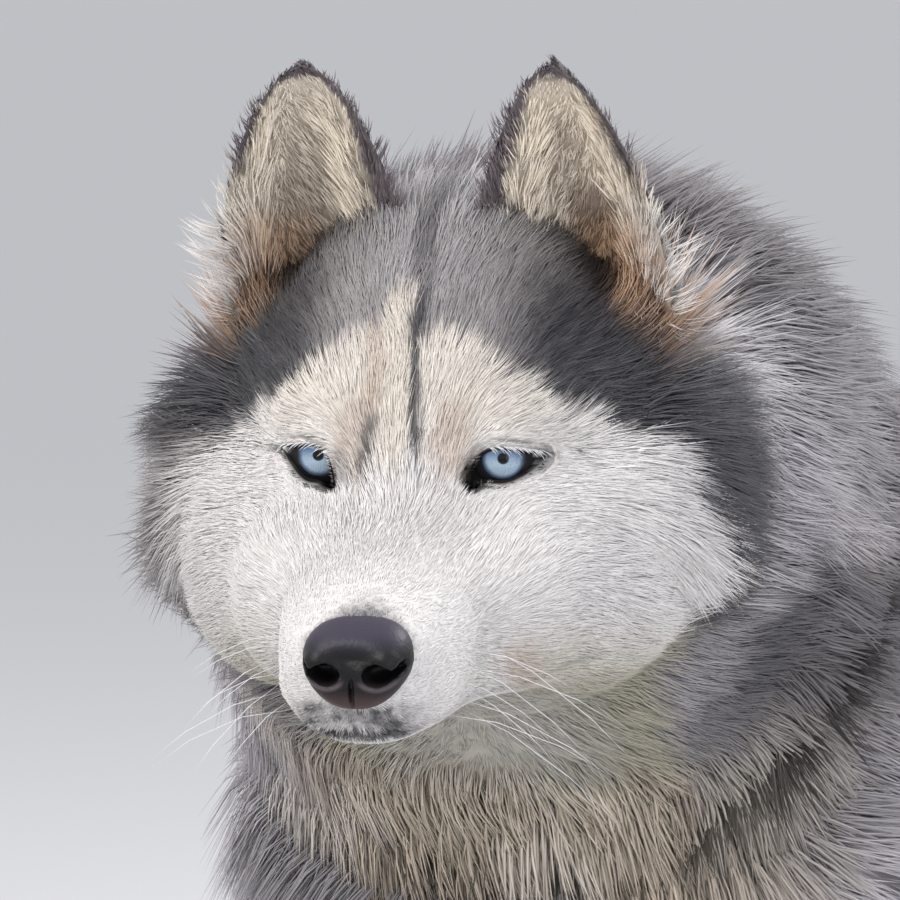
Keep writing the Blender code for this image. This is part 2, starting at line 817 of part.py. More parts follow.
def surface_points(obj, draw, count):
    """Points spread evenly by area over an object, each with its face's normal."""
    obj.data.calc_loop_triangles()
    corners = [[obj.data.vertices[i].co for i in tri.vertices]
               for tri in obj.data.loop_triangles]
    areas = [tri.area for tri in obj.data.loop_triangles]
    normals = [tri.normal for tri in obj.data.loop_triangles]
    for index in draw.choices(range(len(areas)), areas, k=count):
        s, t = math.sqrt(draw.random()), draw.random()
        a, b, c = corners[index]
        yield a * (1 - s) + b * s * (1 - t) + c * s * t, normals[index].copy()


def tree_of(obj):
    faces = [tuple(face.vertices) for face in obj.data.polygons]
    return BVHTree.FromPolygons([v.co for v in obj.data.vertices], faces)


def clear_of(points, faces, trees):
    """Whether a lock keeps off every other node."""
    shape = BVHTree.FromPolygons(points, faces)
    for tree in trees:
        if tree.overlap(shape) or any(tree.find_nearest(p, LOCK_CLEAR)[0] for p in points):
            return False
    return True


def grow_locks(obj, most, spacing, length, width, lift, seed):
    """Sets locks on one node and joins them to it."""
    draw = random.Random(seed)
    core = tree_of(obj)
    trees = [tree_of(other) for other in bpy.data.objects if other is not obj]
    locks = bpy.data.collections.new("locks")
    bpy.context.scene.collection.children.link(locks)
    roots, placed = [], []
    for root, normal in surface_points(obj, draw, 60 * most):
        lie = lie_of_coat(obj.name, root)
        close = any((root - other).length < spacing for other in roots)
        if lie is None or close or len(roots) >= most:
            continue
        bend = draw.uniform(-0.008, 0.008)
        lie = lie + Vector((draw.uniform(-0.12, 0.12), draw.uniform(-0.12, 0.12), 0)) * lie.length
        for share in (1.0, 0.8, 0.62):
            points, faces = lock(core, root, normal, lie, length * share, width, lift, bend)
            if clear_of(points, faces, trees + placed):
                placed.append(BVHTree.FromPolygons(points, faces))
                piece = face_outwards(mesh_object("lock", points, faces))
                locks.objects.link(piece)
                bpy.context.scene.collection.objects.unlink(piece)
                roots.append(root)
                break
    step = obj.modifiers.new("locks", "BOOLEAN")
    step.operation = "UNION"
    step.solver = "MANIFOLD"
    step.operand_type = "COLLECTION"
    step.collection = locks
    apply_modifiers(obj)
    drop(*locks.objects)
    bpy.data.collections.remove(locks)
    keep_largest(obj)


def grow_coat():
    for node, *sizes in LOCK_ZONES:
        grow_locks(bpy.data.objects[node], *sizes)


def stand_on_origin():
    """Moves every piece so that the origin is on the floor in the middle of the box."""
    shapes = [obj for obj in bpy.data.objects if obj.type == "MESH"]
    points = [v.co for obj in shapes for v in obj.data.vertices]
    low = Vector([min(p[i] for p in points) for i in range(3)])
    high = Vector([max(p[i] for p in points) for i in range(3)])
    shift = Vector((-(low.x + high.x) / 2, -(low.y + high.y) / 2, -low.z))
    for obj in shapes:
        obj.data.transform(Matrix.Translation(shift))


def finish_looks():
    """Each node gets its own coat, nose or eye material, and round shading."""
    colours = {"eye": (EYE_BLUE, 0.08), "nose": (NOSE_BLACK, 0.35), "head": (COAT_WHITE, 0.8),
               "lower": (COAT_WHITE, 0.8), "ear": (COAT_DARK, 0.8), "fore": (COAT_WHITE, 0.8),
               "hind": (COAT_WHITE, 0.8), "shank": (COAT_WHITE, 0.8)}
    for obj in bpy.data.objects:
        colour, roughness = colours.get(obj.name.split("_")[0], (COAT_GREY, 0.8))
        obj.data.materials.clear()
        obj.data.materials.append(material(obj.name, colour, roughness))
        obj.data.shade_smooth()
        obj.data.set_sharp_from_angle(angle=math.radians(40))


def main():
    clear_scene()
    build_body()
    build_head()
    grow_coat()
    stand_on_origin()
    finish_looks()


main()
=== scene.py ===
"""Siberian husky standing with its head lowered and turned to its left, in full coat.

Metres, +Z up. The dog faces -Y and its left side is +X.
"""

import math

import bmesh
import bpy
import numpy as np
from bpy.props import FloatProperty, FloatVectorProperty, IntProperty, PointerProperty
from mathutils import Matrix, Vector
from mathutils.bvhtree import BVHTree
from mathutils.kdtree import KDTree


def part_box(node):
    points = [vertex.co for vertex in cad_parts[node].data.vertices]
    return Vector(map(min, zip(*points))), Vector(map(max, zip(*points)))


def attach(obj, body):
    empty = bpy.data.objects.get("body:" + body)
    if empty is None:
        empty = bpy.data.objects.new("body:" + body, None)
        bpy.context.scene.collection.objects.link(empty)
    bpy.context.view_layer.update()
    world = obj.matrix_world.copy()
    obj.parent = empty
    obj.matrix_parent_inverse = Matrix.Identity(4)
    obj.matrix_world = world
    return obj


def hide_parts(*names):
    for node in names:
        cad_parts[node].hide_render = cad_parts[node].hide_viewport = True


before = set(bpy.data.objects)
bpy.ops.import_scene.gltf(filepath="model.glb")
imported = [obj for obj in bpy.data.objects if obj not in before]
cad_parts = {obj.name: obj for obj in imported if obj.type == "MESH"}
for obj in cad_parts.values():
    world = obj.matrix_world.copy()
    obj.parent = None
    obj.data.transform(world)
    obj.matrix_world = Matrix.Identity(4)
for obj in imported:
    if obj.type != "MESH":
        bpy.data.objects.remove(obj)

bl_info = {
    "name": "Standing husky",
    "version": (1, 0, 0),
    "blender": (4, 5, 0),
    "location": "3D View > Sidebar > Husky",
    "description": "Builds a life-size husky with its coat over the packed solids",
    "category": "Add Mesh",
}

MM = 0.001
TAU = math.tau
SIDES = ((1, "left"), (-1, "right"))
ACROSS, ABOVE = (1, 0, 0), (0, 0, 1)

# The head's own axes, found from the eyes: u left, f forward, h up, in millimetres
GLOBE = 11.5
PUPIL_OUT = 32.0
EYE_TURN = math.radians(26)
HEAD_DROP = math.radians(15)
EYE_LEFT, EYE_RIGHT = (np.array(sum(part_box(n), Vector()) / 2) for n in ("eye_left", "eye_right"))
LEFT = (EYE_LEFT - EYE_RIGHT) / np.linalg.norm(EYE_LEFT - EYE_RIGHT)
HEAD_TURN = math.atan2(LEFT[1], LEFT[0])
FORWARD = np.array((
    math.cos(HEAD_DROP) * math.sin(HEAD_TURN),
    -math.cos(HEAD_DROP) * math.cos(HEAD_TURN),
    -math.sin(HEAD_DROP),
))
UP = np.cross(FORWARD, LEFT)
HEAD = np.array((LEFT, FORWARD, UP))
NECK_ACROSS = np.array((math.cos(HEAD_TURN / 2), math.sin(HEAD_TURN / 2), 0))
EYES = (EYE_LEFT + EYE_RIGHT) / 2 + FORWARD * GLOBE * math.cos(EYE_TURN) * MM
# The body's rows are written for eyes at this place
SHIFT = EYES - np.array((0.080, -0.550, 0.590))


def metres(rows):
    """Rows of millimetres, turned into metres."""
    return [tuple(value / 1000 for value in row) for row in rows]


# Front to back along the muzzle: f, middle h, half width, reach up, reach down
MUZZLE = [
    (100, -45, 10, 8, 10), (95, -44, 22, 19, 21), (86, -43, 28.5, 22, 29),
    (70, -43, 32.5, 24, 34), (55, -43, 35, 26.5, 38), (35, -43, 36.5, 28.5, 42),
    (15, -42, 39, 29, 45), (-20, -40, 46, 32, 50), (-45, -38, 40, 20, 40),
]
SKULL = [
    (13, -22, 14, 10, 12), (7, -18, 32, 20, 24), (-2, -12, 46, 34, 36),
    (-16, -8, 57, 49, 48), (-40, -8, 67, 66, 66), (-70, -12, 75, 78, 80),
    (-100, -18, 76, 72, 84), (-135, -26, 74, 62, 84), (-160, -24, 50, 50, 50),
]
RUFF = [
    (6, -40, 30, 16, 30), (-6, -38, 58, 36, 56), (-24, -36, 84, 54, 78),
    (-48, -34, 103, 68, 98), (-78, -30, 109, 82, 106), (-110, -28, 108, 86, 104),
    (-150, -30, 96, 76, 90),
]
# Along the neck: x, y, z, half width, reach up, reach down
NECK = metres([
    (52, -465, 582, 92, 82, 92), (42, -415, 572, 119, 108, 114), (26, -355, 553, 133, 120, 132),
    (8, -290, 520, 138, 112, 146), (0, -220, 475, 124, 110, 150), (0, -160, 430, 80, 80, 100),
])
# Along the trunk: y, height of the back, height of the belly, half width
TRUNK = metres([
    (-372, 480, 410, 50), (-348, 530, 345, 108), (-270, 588, 292, 138), (-150, 600, 272, 145),
    (-30, 583, 274, 146), (72, 572, 298, 137), (155, 572, 332, 126), (225, 562, 358, 119),
    (271, 535, 386, 98), (301, 500, 425, 52),
])
# Down each leg: x, y, z, half width, reach forward, reach back
UPPER_FORELEG = metres([
    (70, -185, 530, 30, 35, 35), (88, -215, 480, 44, 56, 60), (97, -245, 410, 48, 56, 72),
    (98, -215, 345, 44, 48, 64), (93, -190, 290, 36, 40, 46), (90, -188, 255, 30, 34, 36),
])
FORELEG = metres([
    (92, -188, 325, 30, 34, 40), (90, -188, 275, 33, 38, 44), (86, -194, 200, 28, 30, 34),
    (83, -198, 125, 25, 26, 28), (81, -202, 90, 26, 27, 27), (80, -212, 50, 27, 26, 25),
    (80, -222, 22, 24, 26, 24),
])
THIGH = metres([
    (55, 230, 510, 40, 50, 50), (80, 206, 450, 56, 88, 98), (96, 182, 385, 56, 84, 104),
    (104, 162, 325, 48, 62, 90), (105, 164, 275, 38, 46, 62),
])
HINDLEG = metres([
    (105, 148, 325, 36, 44, 50), (104, 173, 265, 37, 42, 50), (100, 216, 212, 30, 30, 36),
    (96, 256, 168, 26, 26, 30), (94, 266, 130, 24, 24, 26), (92, 264, 80, 24, 24, 23),
    (91, 254, 45, 26, 26, 24), (91, 244, 22, 24, 26, 22),
])
# Along the tail: x, y, z, half width, reach up, reach down
TAIL = metres([
    (0, 258, 525, 30, 22, 22), (0, 308, 514, 40, 34, 34), (6, 358, 474, 56, 52, 50),
    (14, 386, 410, 66, 64, 58), (20, 400, 338, 70, 68, 60), (24, 408, 264, 62, 60, 54),
    (24, 418, 202, 42, 42, 38), (22, 428, 160, 14, 14, 14),
])
# How deep the skin lies inside these rows
RUFF_CORE = 13.0
NECK_CORE = 0.014
TAIL_CORE = 0.55
MUZZLE_DEPTH = 2.0
SKULL_DEPTH = 4.5
TRUNK_DEPTH = 0.014
LEG_DEPTH = 0.0045

# How far from the middle the coat starts to lie flat, and where the tail begins
FLANK = 0.148
TAIL_START = 0.33

# The edge of the lids round each iris, seen along its gaze: outward and up, in millimetres
LIDS = {
    1: [(13.5, 0.6), (8.0, 1.8), (2.0, 2.5), (-5.0, 2.2), (-8.8, -1.2), (-11.6, -8.6),
        (-10.8, -9.6), (-6.0, -7.6), (1.0, -7.4), (8.0, -4.2)],
    -1: [(11.8, 1.8), (7.6, 2.6), (3.2, 2.8), (-1.2, 1.2), (-3.6, -3.6), (-4.2, -9.6),
         (-3.4, -10.6), (0.4, -8.8), (4.6, -7.8), (8.8, -3.4)],
}
GAZE = {1: math.radians(31), -1: math.radians(24)}
NOSE_AT = np.array((2.0, 93.0, -36.5))
NOSE_WIDE, NOSE_TALL = 16.6, 12.4
NOSTRIL_OUT, NOSTRIL_LOW, NOSTRIL_WIDE, NOSTRIL_TALL = 8.9, -0.6, 5.2, 3.9
# The lower edge of the mask: how far out, and how high in front view
MASK_EDGE = (0, 10, 20, 32, 44, 60, 72, 82, 90), (32, 37, 35, 26, 18, 9, 1, -13, -38)
EAR_WIDE = 35.5
# A paw's half length, half width and height, how far it lies ahead of its leg, and a toe's height
PAW_LONG, PAW_WIDE, PAW_TALL, PAW_AHEAD, TOE = 0.042, 0.031, 0.025, 0.012, 0.0150
# The spacing of the toes, and how far each reaches ahead
TOE_GAP, TOE_REACH = 0.0155, (0.026, 0.034, 0.034, 0.026)
FLESH = [
    "torso", "neck", "head", "lower_jaw", "tail_base", "tail_brush",
    *(limb + side for limb in ("upper_foreleg_", "forearm_", "fore_paw_", "thigh_", "shank_",
                               "hind_paw_") for side in ("left", "right")),
]

# Coat colours as seen in daylight, and the colours of painted shade under the head, red green blue from
# 0 to 255
WHITE = (232, 228, 226)
CREAM = (226, 217, 206)
# Painted shade: a warm olive cream laid over the lower cheeks and jaw
LOW_SHADE = (200, 191, 168)
BEIGE = (188, 166, 146)
GREY = (142, 139, 142)
SILVER = (188, 183, 188)
CHARCOAL = (56, 55, 60)
# Painted shadow under the jaw
JAW_SHADOW = (150, 146, 126)
NAPE = (100, 94, 96)
CHEST = (200, 184, 160)
EAR_RIM = (88, 78, 90)
EAR_INNER = (244, 232, 214)
EAR_HOLLOW = (118, 90, 72)
EAR_TAN = (206, 168, 136)
# Near black of the lids, also used as painted shade in the lid creases and at the inner base of the ears
LID = (22, 20, 22)

# Streaks of the brow: how far left, lean and the height it starts below, where a side begins
# and ends, colour, weight, and the heights between which it comes and goes
STREAKS = (
    (-3.8, 0, 0, 3.2, 5.6, CREAM, 0.9, (-16, -4, 46, 58)),
    (2.2, 0.13, 8, 0.9, 2.6, CHARCOAL, 0.85, (-14, 0, 46, 60)),
    (-10, -0.2, 4, 0.8, 2.4, CHARCOAL, 0.8, (-18, -12, 4, 11)),
    (-11, 0, 0, 1.5, 4.5, BEIGE, 0.45, (5, 12, 34, 44)),
    (-1, 0, 0, 1.5, 5.5, CHARCOAL, 0.6, (48, 60, 84, 100)),
)

# The camera's side and height round the eyes, its distance, and the width it frames
VIEW_TURN, VIEW_RISE = math.radians(30), math.radians(5)
VIEW_FAR, VIEW_WIDE = 2.0, 0.305
# How far right of the eyes and above them it aims, as shares of that width
AIM_RIGHT, AIM_UP = 43 / 900, 5 / 900
# Each lamp: name, place from the eyes, size, share of the main power, colour
LAMPS = (
    ("key", (-0.7, -1.6, 1.7), 1.3, 1.0, (1, 0.98, 0.95)),
    ("fill", (2.2, -0.8, 0.6), 2.0, 0.45, (0.90, 0.94, 1.0)),
    ("rim", (0.6, 2.4, 1.9), 1.4, 1.3, (1, 1, 1)),
)
# How far along a hair it bends
BEND = 0.42


def linear(colour):
    """A display colour as the linear colour that shaders use."""
    c = np.asarray(colour, float) / 255
    return np.where(c <= 0.04045, c / 12.92, ((c + 0.055) / 1.055) ** 2.4)


def step(x, low, high):
    """0 below low, 1 above high, smooth between."""
    t = np.clip((x - low) / (high - low), 0, 1)
    return t * t * (3 - 2 * t)


def fall(x, low, high):
    """1 below low, 0 above high, smooth between."""
    return 1 - step(x, low, high)


def band(x, low, start, end, high):
    """1 from start to end, 0 below low and above high."""
    return step(x, low, start) * fall(x, end, high)


def unit(v):
    return v / np.maximum(np.linalg.norm(v, axis=-1, keepdims=True), 1e-12)


def mix(a, b, weight):
    weight = np.asarray(weight)[..., None]
    return a * (1 - weight) + b * weight


class Paint:
    """The colours of points, laid over each other by weight."""

    def __init__(self, points, tone):
        self.colour = np.tile(linear(tone), (len(points), 1))

    def lay(self, tone, weight):
        self.colour = mix(self.colour, linear(tone), weight)


def waves(points, size, seed):
    """Soft noise from -1 to 1 over space, with features of about the size given."""
    draw = np.random.default_rng(seed)
    total = np.zeros(len(points))
    for _ in range(7):
        way = unit(draw.normal(size=3)) * TAU / size * draw.uniform(0.6, 1.5)
        total += np.sin(points @ way + draw.uniform(0, TAU))
    return total / 3.4


def head_point(u, f, h):
    return EYES + (LEFT * u + FORWARD * f + UP * h) * MM


def head_place(points):
    """Points of the world in the head's own axes and millimetres."""
    return (points - EYES) @ HEAD.T / MM


def face_place(points):
    """Places in the head's axes, with how far each is from the middle and its height in front view."""
    u, f, h = head_place(points).T
    return u, f, h, np.abs(u), 0.94 * h - 0.342 * f


def spline(a, b, c, d, t):
    """A smooth curve from b to c that also heeds a and d."""
    return 0.5 * (2 * b + (c - a) * t + (2 * a - 5 * b + 4 * c - d) * t**2
                  + (3 * b - a - 3 * c + d) * t**3)


def smooth_rows(rows, steps):
    rows = np.array(rows, float)
    rows = np.vstack([2 * rows[0] - rows[1], rows, 2 * rows[-1] - rows[-2]])
    spans = zip(rows, rows[1:], rows[2:], rows[3:])
    return [spline(*four, t) for four in spans for t in np.arange(steps) / steps] + [rows[-2]]


def axes(*ways):
    """The rotation whose columns are three directions."""
    return Matrix([Vector(way) for way in ways]).transposed()


def activate(obj=None):
    """Makes an object the only selected one, or leaves none selected."""
    for other in bpy.context.selected_objects:
        other.select_set(False)
    if obj:
        obj.select_set(True)
        bpy.context.view_layer.objects.active = obj
    return obj


def named(name):
    """The object that an operator has just made, under its name."""
    bpy.context.object.name = name
    return bpy.context.object


def edit(obj, *steps):
    """Runs edit mode steps on the whole mesh of an object."""
    activate(obj)
    bpy.ops.object.mode_set(mode="EDIT")
    bpy.ops.mesh.select_all(action="SELECT")
    for act in steps:
        act()
    bpy.ops.object.mode_set(mode="OBJECT")
    return obj


def close_seam():
    bpy.ops.mesh.remove_doubles(threshold=1e-6)
    bpy.ops.mesh.fill_holes(sides=0)
    bpy.ops.mesh.normals_make_consistent(inside=False)


def write(data, field, values, kind=np.float32):
    """Writes one field of all points, loops or faces."""
    data.foreach_set(field, np.asarray(values, kind).ravel())


def read(data, field):
    found = np.empty(len(data) * 3, np.float32)
    data.foreach_get(field, found)
    return found.reshape(-1, 3).astype(float)


def points_of(obj):
    return read(obj.data.vertices, "co")


def normals_of(obj):
    return read(obj.data.vertex_normals, "vector")


def loft(name, rings, hoop=False):
    """A closed body over rings of points; in a hoop the last ring joins the first."""
    rings = np.array(rings)
    rolled = np.concatenate([rings, rings[:, :1]], axis=1)
    if hoop:
        rolled = np.concatenate([rolled, rolled[:1]], axis=0)
    activate()
    bpy.ops.mesh.primitive_grid_add(x_subdivisions=rings.shape[1], y_subdivisions=len(rolled) - 1)
    obj = named(name)
    write(obj.data.vertices, "co", rolled)
    return edit(obj, close_seam)


def ball(name, centre, radii, turn=Matrix.Identity(3), segments=24, rings=14):
    """An ellipsoid of three radii, turned by a rotation matrix."""
    activate()
    bpy.ops.mesh.primitive_uv_sphere_add(segments=segments, ring_count=rings, radius=1)
    obj = named(name)
    obj.data.transform(Matrix.Translation(Vector(centre)) @ turn.to_4x4() @ Matrix.Diagonal((*radii, 1)))
    return edit(obj, lambda: bpy.ops.mesh.normals_make_consistent(inside=False))


def add_step(obj, kind, **values):
    """Adds a modifier to an object."""
    modifier = obj.modifiers.new(kind.lower(), kind)
    for name, value in values.items():
        setattr(modifier, name, value)


def apply_steps(obj):
    activate(obj)
    for modifier in list(obj.modifiers):
        bpy.ops.object.modifier_apply(modifier=modifier.name)
    return obj


def joined(name, objects):
    activate(objects[0])
    for obj in objects:
        obj.select_set(True)
    if len(objects) > 1:
        bpy.ops.object.join()
    objects[0].name = name
    return objects[0]


def keep_largest(obj):
    """Only the largest closed surface of the object stays."""
    shape = bmesh.new()
    shape.from_mesh(obj.data)
    left = set(shape.faces)
    groups = []
    while left:
        edge = [left.pop()]
        group = set(edge)
        while edge:
            near = {face for side in edge.pop().edges for face in side.link_faces} & left
            left -= near
            group |= near
            edge += near
        groups.append(group)
    groups.sort(key=len)
    bmesh.ops.delete(shape, geom=[f for g in groups[:-1] for f in g], context="FACES")
    shape.to_mesh(obj.data)
    shape.free()
    return obj


def melted(name, objects, voxel, rounds):
    """Forms joined and remeshed into one smooth body."""
    body = joined(name, objects)
    add_step(body, "REMESH", mode="VOXEL", voxel_size=voxel)
    add_step(body, "SMOOTH", factor=0.5, iterations=rounds)
    return keep_largest(apply_steps(body))


def eased(obj, weights, rounds):
    """Smooths an object further where its points have weight."""
    group = obj.vertex_groups.new(name="ease")
    for level in range(1, 9):
        inside = np.flatnonzero(np.round(weights * 8).astype(int) == level)
        group.add(inside.tolist(), level / 8, "REPLACE")
    add_step(obj, "SMOOTH", vertex_group=group.name, factor=0.5, iterations=rounds)
    apply_steps(obj)
    obj.vertex_groups.clear()


def cut(obj, cutter):
    add_step(obj, "BOOLEAN", operation="DIFFERENCE", solver="MANIFOLD", object=cutter)
    apply_steps(obj)
    bpy.data.objects.remove(cutter)
    return keep_largest(obj)


def tree_of(obj):
    faces = [tuple(face.vertices) for face in obj.data.polygons]
    return BVHTree.FromPolygons([v.co for v in obj.data.vertices], faces)


def oval(centre, across, upward, wide, above, below, boxy, sides):
    angle = np.arange(sides) * TAU / sides
    c, s = np.cos(angle), np.sin(angle)
    x = np.sign(c) * np.abs(c) ** boxy * wide
    y = np.sign(s) * np.abs(s) ** boxy * np.where(s > 0, above, below)
    return centre + np.outer(x, across) + np.outer(y, upward)


def tube(rows, across, boxy=1.0, sides=40, steps=8, inset=0.0):
    """A limb or neck along rows of x, y, z, half width, reach above and reach below."""
    rows = smooth_rows(rows, steps)
    centres = np.array([row[:3] for row in rows])
    down = centres[-1][2] < centres[0][2] - 0.1 and centres[-1][1] < centres[0][1] + 0.1
    rings = []
    for i, row in enumerate(rows):
        ahead = centres[min(i + 1, len(rows) - 1)] - centres[max(i - 1, 0)]
        upward = unit(np.cross(across, ahead))
        side = unit(np.cross(ahead, upward))
        wide, above, below = (max(value - inset, 0.006) for value in row[3:6])
        rings.append(oval(centres[i] + SHIFT, side, -upward if down else upward,
                          wide, above, below, boxy, sides))
    return loft("form", rings)


def head_tube(rows, boxy=1.0, sides=64, steps=8, inset=0.0):
    """A form of the head along rows of f, middle h, half width, reach up and reach down."""
    rings = []
    for f, h, wide, above, below in smooth_rows(rows, steps):
        reach = [max(value - inset, 3.0) for value in (wide, above, below)]
        ring = oval((0, f, h), ACROSS, ABOVE, *reach, boxy, sides)
        rings.append(EYES + ring @ HEAD * MM)
    return loft("form", rings)


def head_ball(name, u, f, h, radii, tilt=0.0):
    turn = axes(LEFT, FORWARD, UP) @ Matrix.Rotation(tilt, 3, "Y")
    return ball(name, head_point(u, f, h), [r * MM for r in radii], turn)


def mirror_rows(rows, side):
    return [(row[0] * side, *row[1:]) for row in rows]


def paw_place(rows, side):
    """Where the paw of a leg stands: x and y."""
    return rows[-1][0] * side, rows[-1][1] - PAW_AHEAD


def eye_centre(side):
    """The middle of the globe, set back from the pupil along the eye's gaze."""
    gaze = unit(np.array((math.sin(GAZE[side]), -math.cos(GAZE[side]), 0.07)))
    return head_point(side * PUPIL_OUT + 1.2, 0, -0.6) - gaze * GLOBE * MM, gaze


def eye_axes(side):
    """An eye's outward direction across the face, its gaze and its up."""
    _, gaze = eye_centre(side)
    right = unit(np.cross(gaze, (0, 0, 1)))
    up = np.cross(right, gaze)
    outward = right * (1 if right @ LEFT * side > 0 else -1)
    return outward, gaze, up


def lid_line(side, grow=0.0, count=48):
    """The outline of the lids in the eye's own plane, set outward by a distance."""
    rows = np.array(LIDS[side], float)
    size = len(rows)
    t = np.linspace(0, size, count, endpoint=False)
    i = t.astype(int)
    f = (t - i)[:, None]
    a, b, c, d = (rows[(i + k) % size] for k in (-1, 0, 1, 2))
    line = spline(a, b, c, d, f)
    away = line - line.mean(0)
    ahead = np.roll(line, -1, 0) - np.roll(line, 1, 0)
    out = unit(np.stack([ahead[:, 1], -ahead[:, 0]], 1))
    out *= np.sign((out * away).sum(1).mean())
    out = unit(out + unit(away) * min(grow / 6, 1.5))
    return line + out * grow


def slit_outline(side, grow=0.0):
    """The outline of the lids in the world, through the middle of the globe."""
    centre, _ = eye_centre(side)
    outward, _, up = eye_axes(side)
    line = lid_line(side, grow)
    return centre + (np.outer(line[:, 0], outward) + np.outer(line[:, 1], up)) * MM


def lid_distance(points, side):
    """How far outside the edge of the lids each point is, in millimetres, and its place there."""
    centre, gaze = eye_centre(side)
    outward, _, up = eye_axes(side)
    offset = (points - centre) / MM
    x, z = offset @ outward, offset @ up
    near = (np.hypot(x, z) < 40) & (np.abs(offset @ gaze - 8) < 24)
    distance = np.full(len(points), 40.0)
    line = lid_line(side, 0.0, 40)
    after = np.roll(line, -1, 0)
    px, pz = x[near][:, None], z[near][:, None]
    edge = after - line
    t = ((px - line[:, 0]) * edge[:, 0] + (pz - line[:, 1]) * edge[:, 1]) / (edge**2).sum(1)
    t = np.clip(t, 0, 1)
    gap = np.hypot(px - line[:, 0] - t * edge[:, 0], pz - line[:, 1] - t * edge[:, 1]).min(1)
    crossing = (line[:, 1] > pz) != (after[:, 1] > pz)
    reach = line[:, 0] + (pz - line[:, 1]) * edge[:, 0] / np.where(edge[:, 1] == 0, 1e-9, edge[:, 1])
    inside = (crossing & (px < reach)).sum(1) % 2 == 1
    distance[near] = np.where(inside, -gap, gap)
    return distance, x, z


def lid_gap(points):
    """How far outside the lids of the nearer eye each point is, in millimetres."""
    return np.minimum(lid_distance(points, 1)[0], lid_distance(points, -1)[0])


def on_globe(side, points, lift):
    """Points of the eye's plane carried along its gaze onto a ball round its globe."""
    centre, gaze = eye_centre(side)
    radius = (GLOBE + lift) * MM
    rest = radius**2 - ((points - centre) ** 2).sum(1)
    return points + np.outer(np.sqrt(np.maximum(rest, (2.0 * MM) ** 2)), gaze)


def lid_sheet(side, tree):
    """The skin round an eye, from the edge of its lids on the globe out to the face."""
    _, gaze = eye_centre(side)
    inner = on_globe(side, slit_outline(side, -0.3), 0.3)
    edge = on_globe(side, slit_outline(side, 0.7), 1.5)
    crease = on_globe(side, slit_outline(side, 2.4), 1.7)
    outer = []
    for p in slit_outline(side, 8.5):
        hit = tree.ray_cast(Vector(p + gaze * 0.035), Vector(-gaze), 0.05)[0]
        outer.append(np.array(hit) - gaze * 0.0004 if hit else p)
    outer = np.array(outer)
    rings = [inner, edge, crease]
    for t in (0.2, 0.4, 0.6, 0.8, 1.0):
        bulge = gaze * 0.0012 * math.sin(math.pi * t)
        rings.append(crease + (outer - crease) * t + bulge)
    rings.append(outer - gaze * 0.005)
    rings.append(inner - gaze * 0.003)
    return loft("lid", rings, hoop=True)


def head_forms():
    forms = [
        head_tube(MUZZLE, boxy=0.82, inset=MUZZLE_DEPTH),
        head_tube(SKULL, inset=SKULL_DEPTH),
    ]
    rows = []
    for f, h, *reaches in RUFF:
        inset = RUFF_CORE * min(1.0, max(0.0, (12 - f) / 50)) + 2
        rows.append((f, h, *(reach - inset for reach in reaches)))
    forms.append(head_tube(rows))
    forms.append(tube(NECK[:3], NECK_ACROSS, inset=NECK_CORE))
    for side in (-1, 1):
        forms += [
            head_ball("form", side * 27, -15, 11, (22, 13, 10.5), side * 0.3),
            head_ball("form", side * 16, 72, -53, (14.5, 18, 13)),
            head_ball("form", side * 35, 4, -46, (27, 42, 36)),
            head_ball("form", side * 50, -22, -50, (34, 36, 44)),
        ]
    forms.append(head_ball("form", 64, -130, -42, (36, 60, 62)))
    return forms


def on_floor(x, y, height):
    """A place at the body's x and y, and at a height over the floor."""
    return np.array((x + SHIFT[0], y + SHIFT[1], height))


def toes(x, y, side):
    """Where the four toes of a paw lie."""
    return [(x + (i - 1.5) * TOE_GAP * side, y - reach) for i, reach in enumerate(TOE_REACH)]


def paw(x, y, side):
    """A paw of four toes."""
    size = (PAW_WIDE - 0.003, PAW_LONG - 0.003, PAW_TALL - 0.002)
    forms = [ball("form", on_floor(x, y, PAW_TALL * 0.85), size)]
    for toe in toes(x, y, side):
        forms.append(ball("form", on_floor(*toe, TOE * 0.95), (TOE * 0.58, TOE * 1.1, TOE * 0.9)))
    return forms


def body_forms():
    trunk = []
    for y, top, bottom, wide in TRUNK:
        middle = bottom + 0.48 * (top - bottom)
        trunk.append((0, y, middle, wide, top - middle, middle - bottom))
    tail = [row[:3] + tuple(r * (1 if i == 0 else TAIL_CORE) for r in row[3:])
            for i, row in enumerate(TAIL)]
    forms = [
        tube(trunk, ACROSS, boxy=0.92, inset=TRUNK_DEPTH),
        tube(NECK, NECK_ACROSS, inset=NECK_CORE),
        tube(tail, ACROSS),
    ]
    for side in (-1, 1):
        for rows in (UPPER_FORELEG, FORELEG, THIGH, HINDLEG):
            inset = TRUNK_DEPTH if rows in (UPPER_FORELEG, THIGH) else LEG_DEPTH
            forms.append(tube(mirror_rows(rows, side), ACROSS, inset=inset))
        for rows in (FORELEG, HINDLEG):
            forms += paw(*paw_place(rows, side), side)
    return forms


def colour_attribute(obj, colours):
    """Writes linear colours to the points of an object as the attribute Coat."""
    layer = obj.data.color_attributes.new("Coat", "FLOAT_COLOR", "POINT")
    rgba = np.ones((len(obj.data.vertices), 4), np.float32)
    rgba[:, :3] = colours
    write(layer.data, "color", rgba)


def point_values(obj, name, kind, field, values):
    """Writes values to the points of an object as a named attribute."""
    write(obj.data.attributes.new(name, kind, "POINT").data, field, values)


def head_share(points):
    """1 on the head, 0 on the body, from where the ruff meets the neck."""
    _, f, h = head_place(points).T
    height = (points - SHIFT)[:, 2]
    return step(f, -132, -112) * step(h, -160, -142) * step(height, 0.33, 0.39)


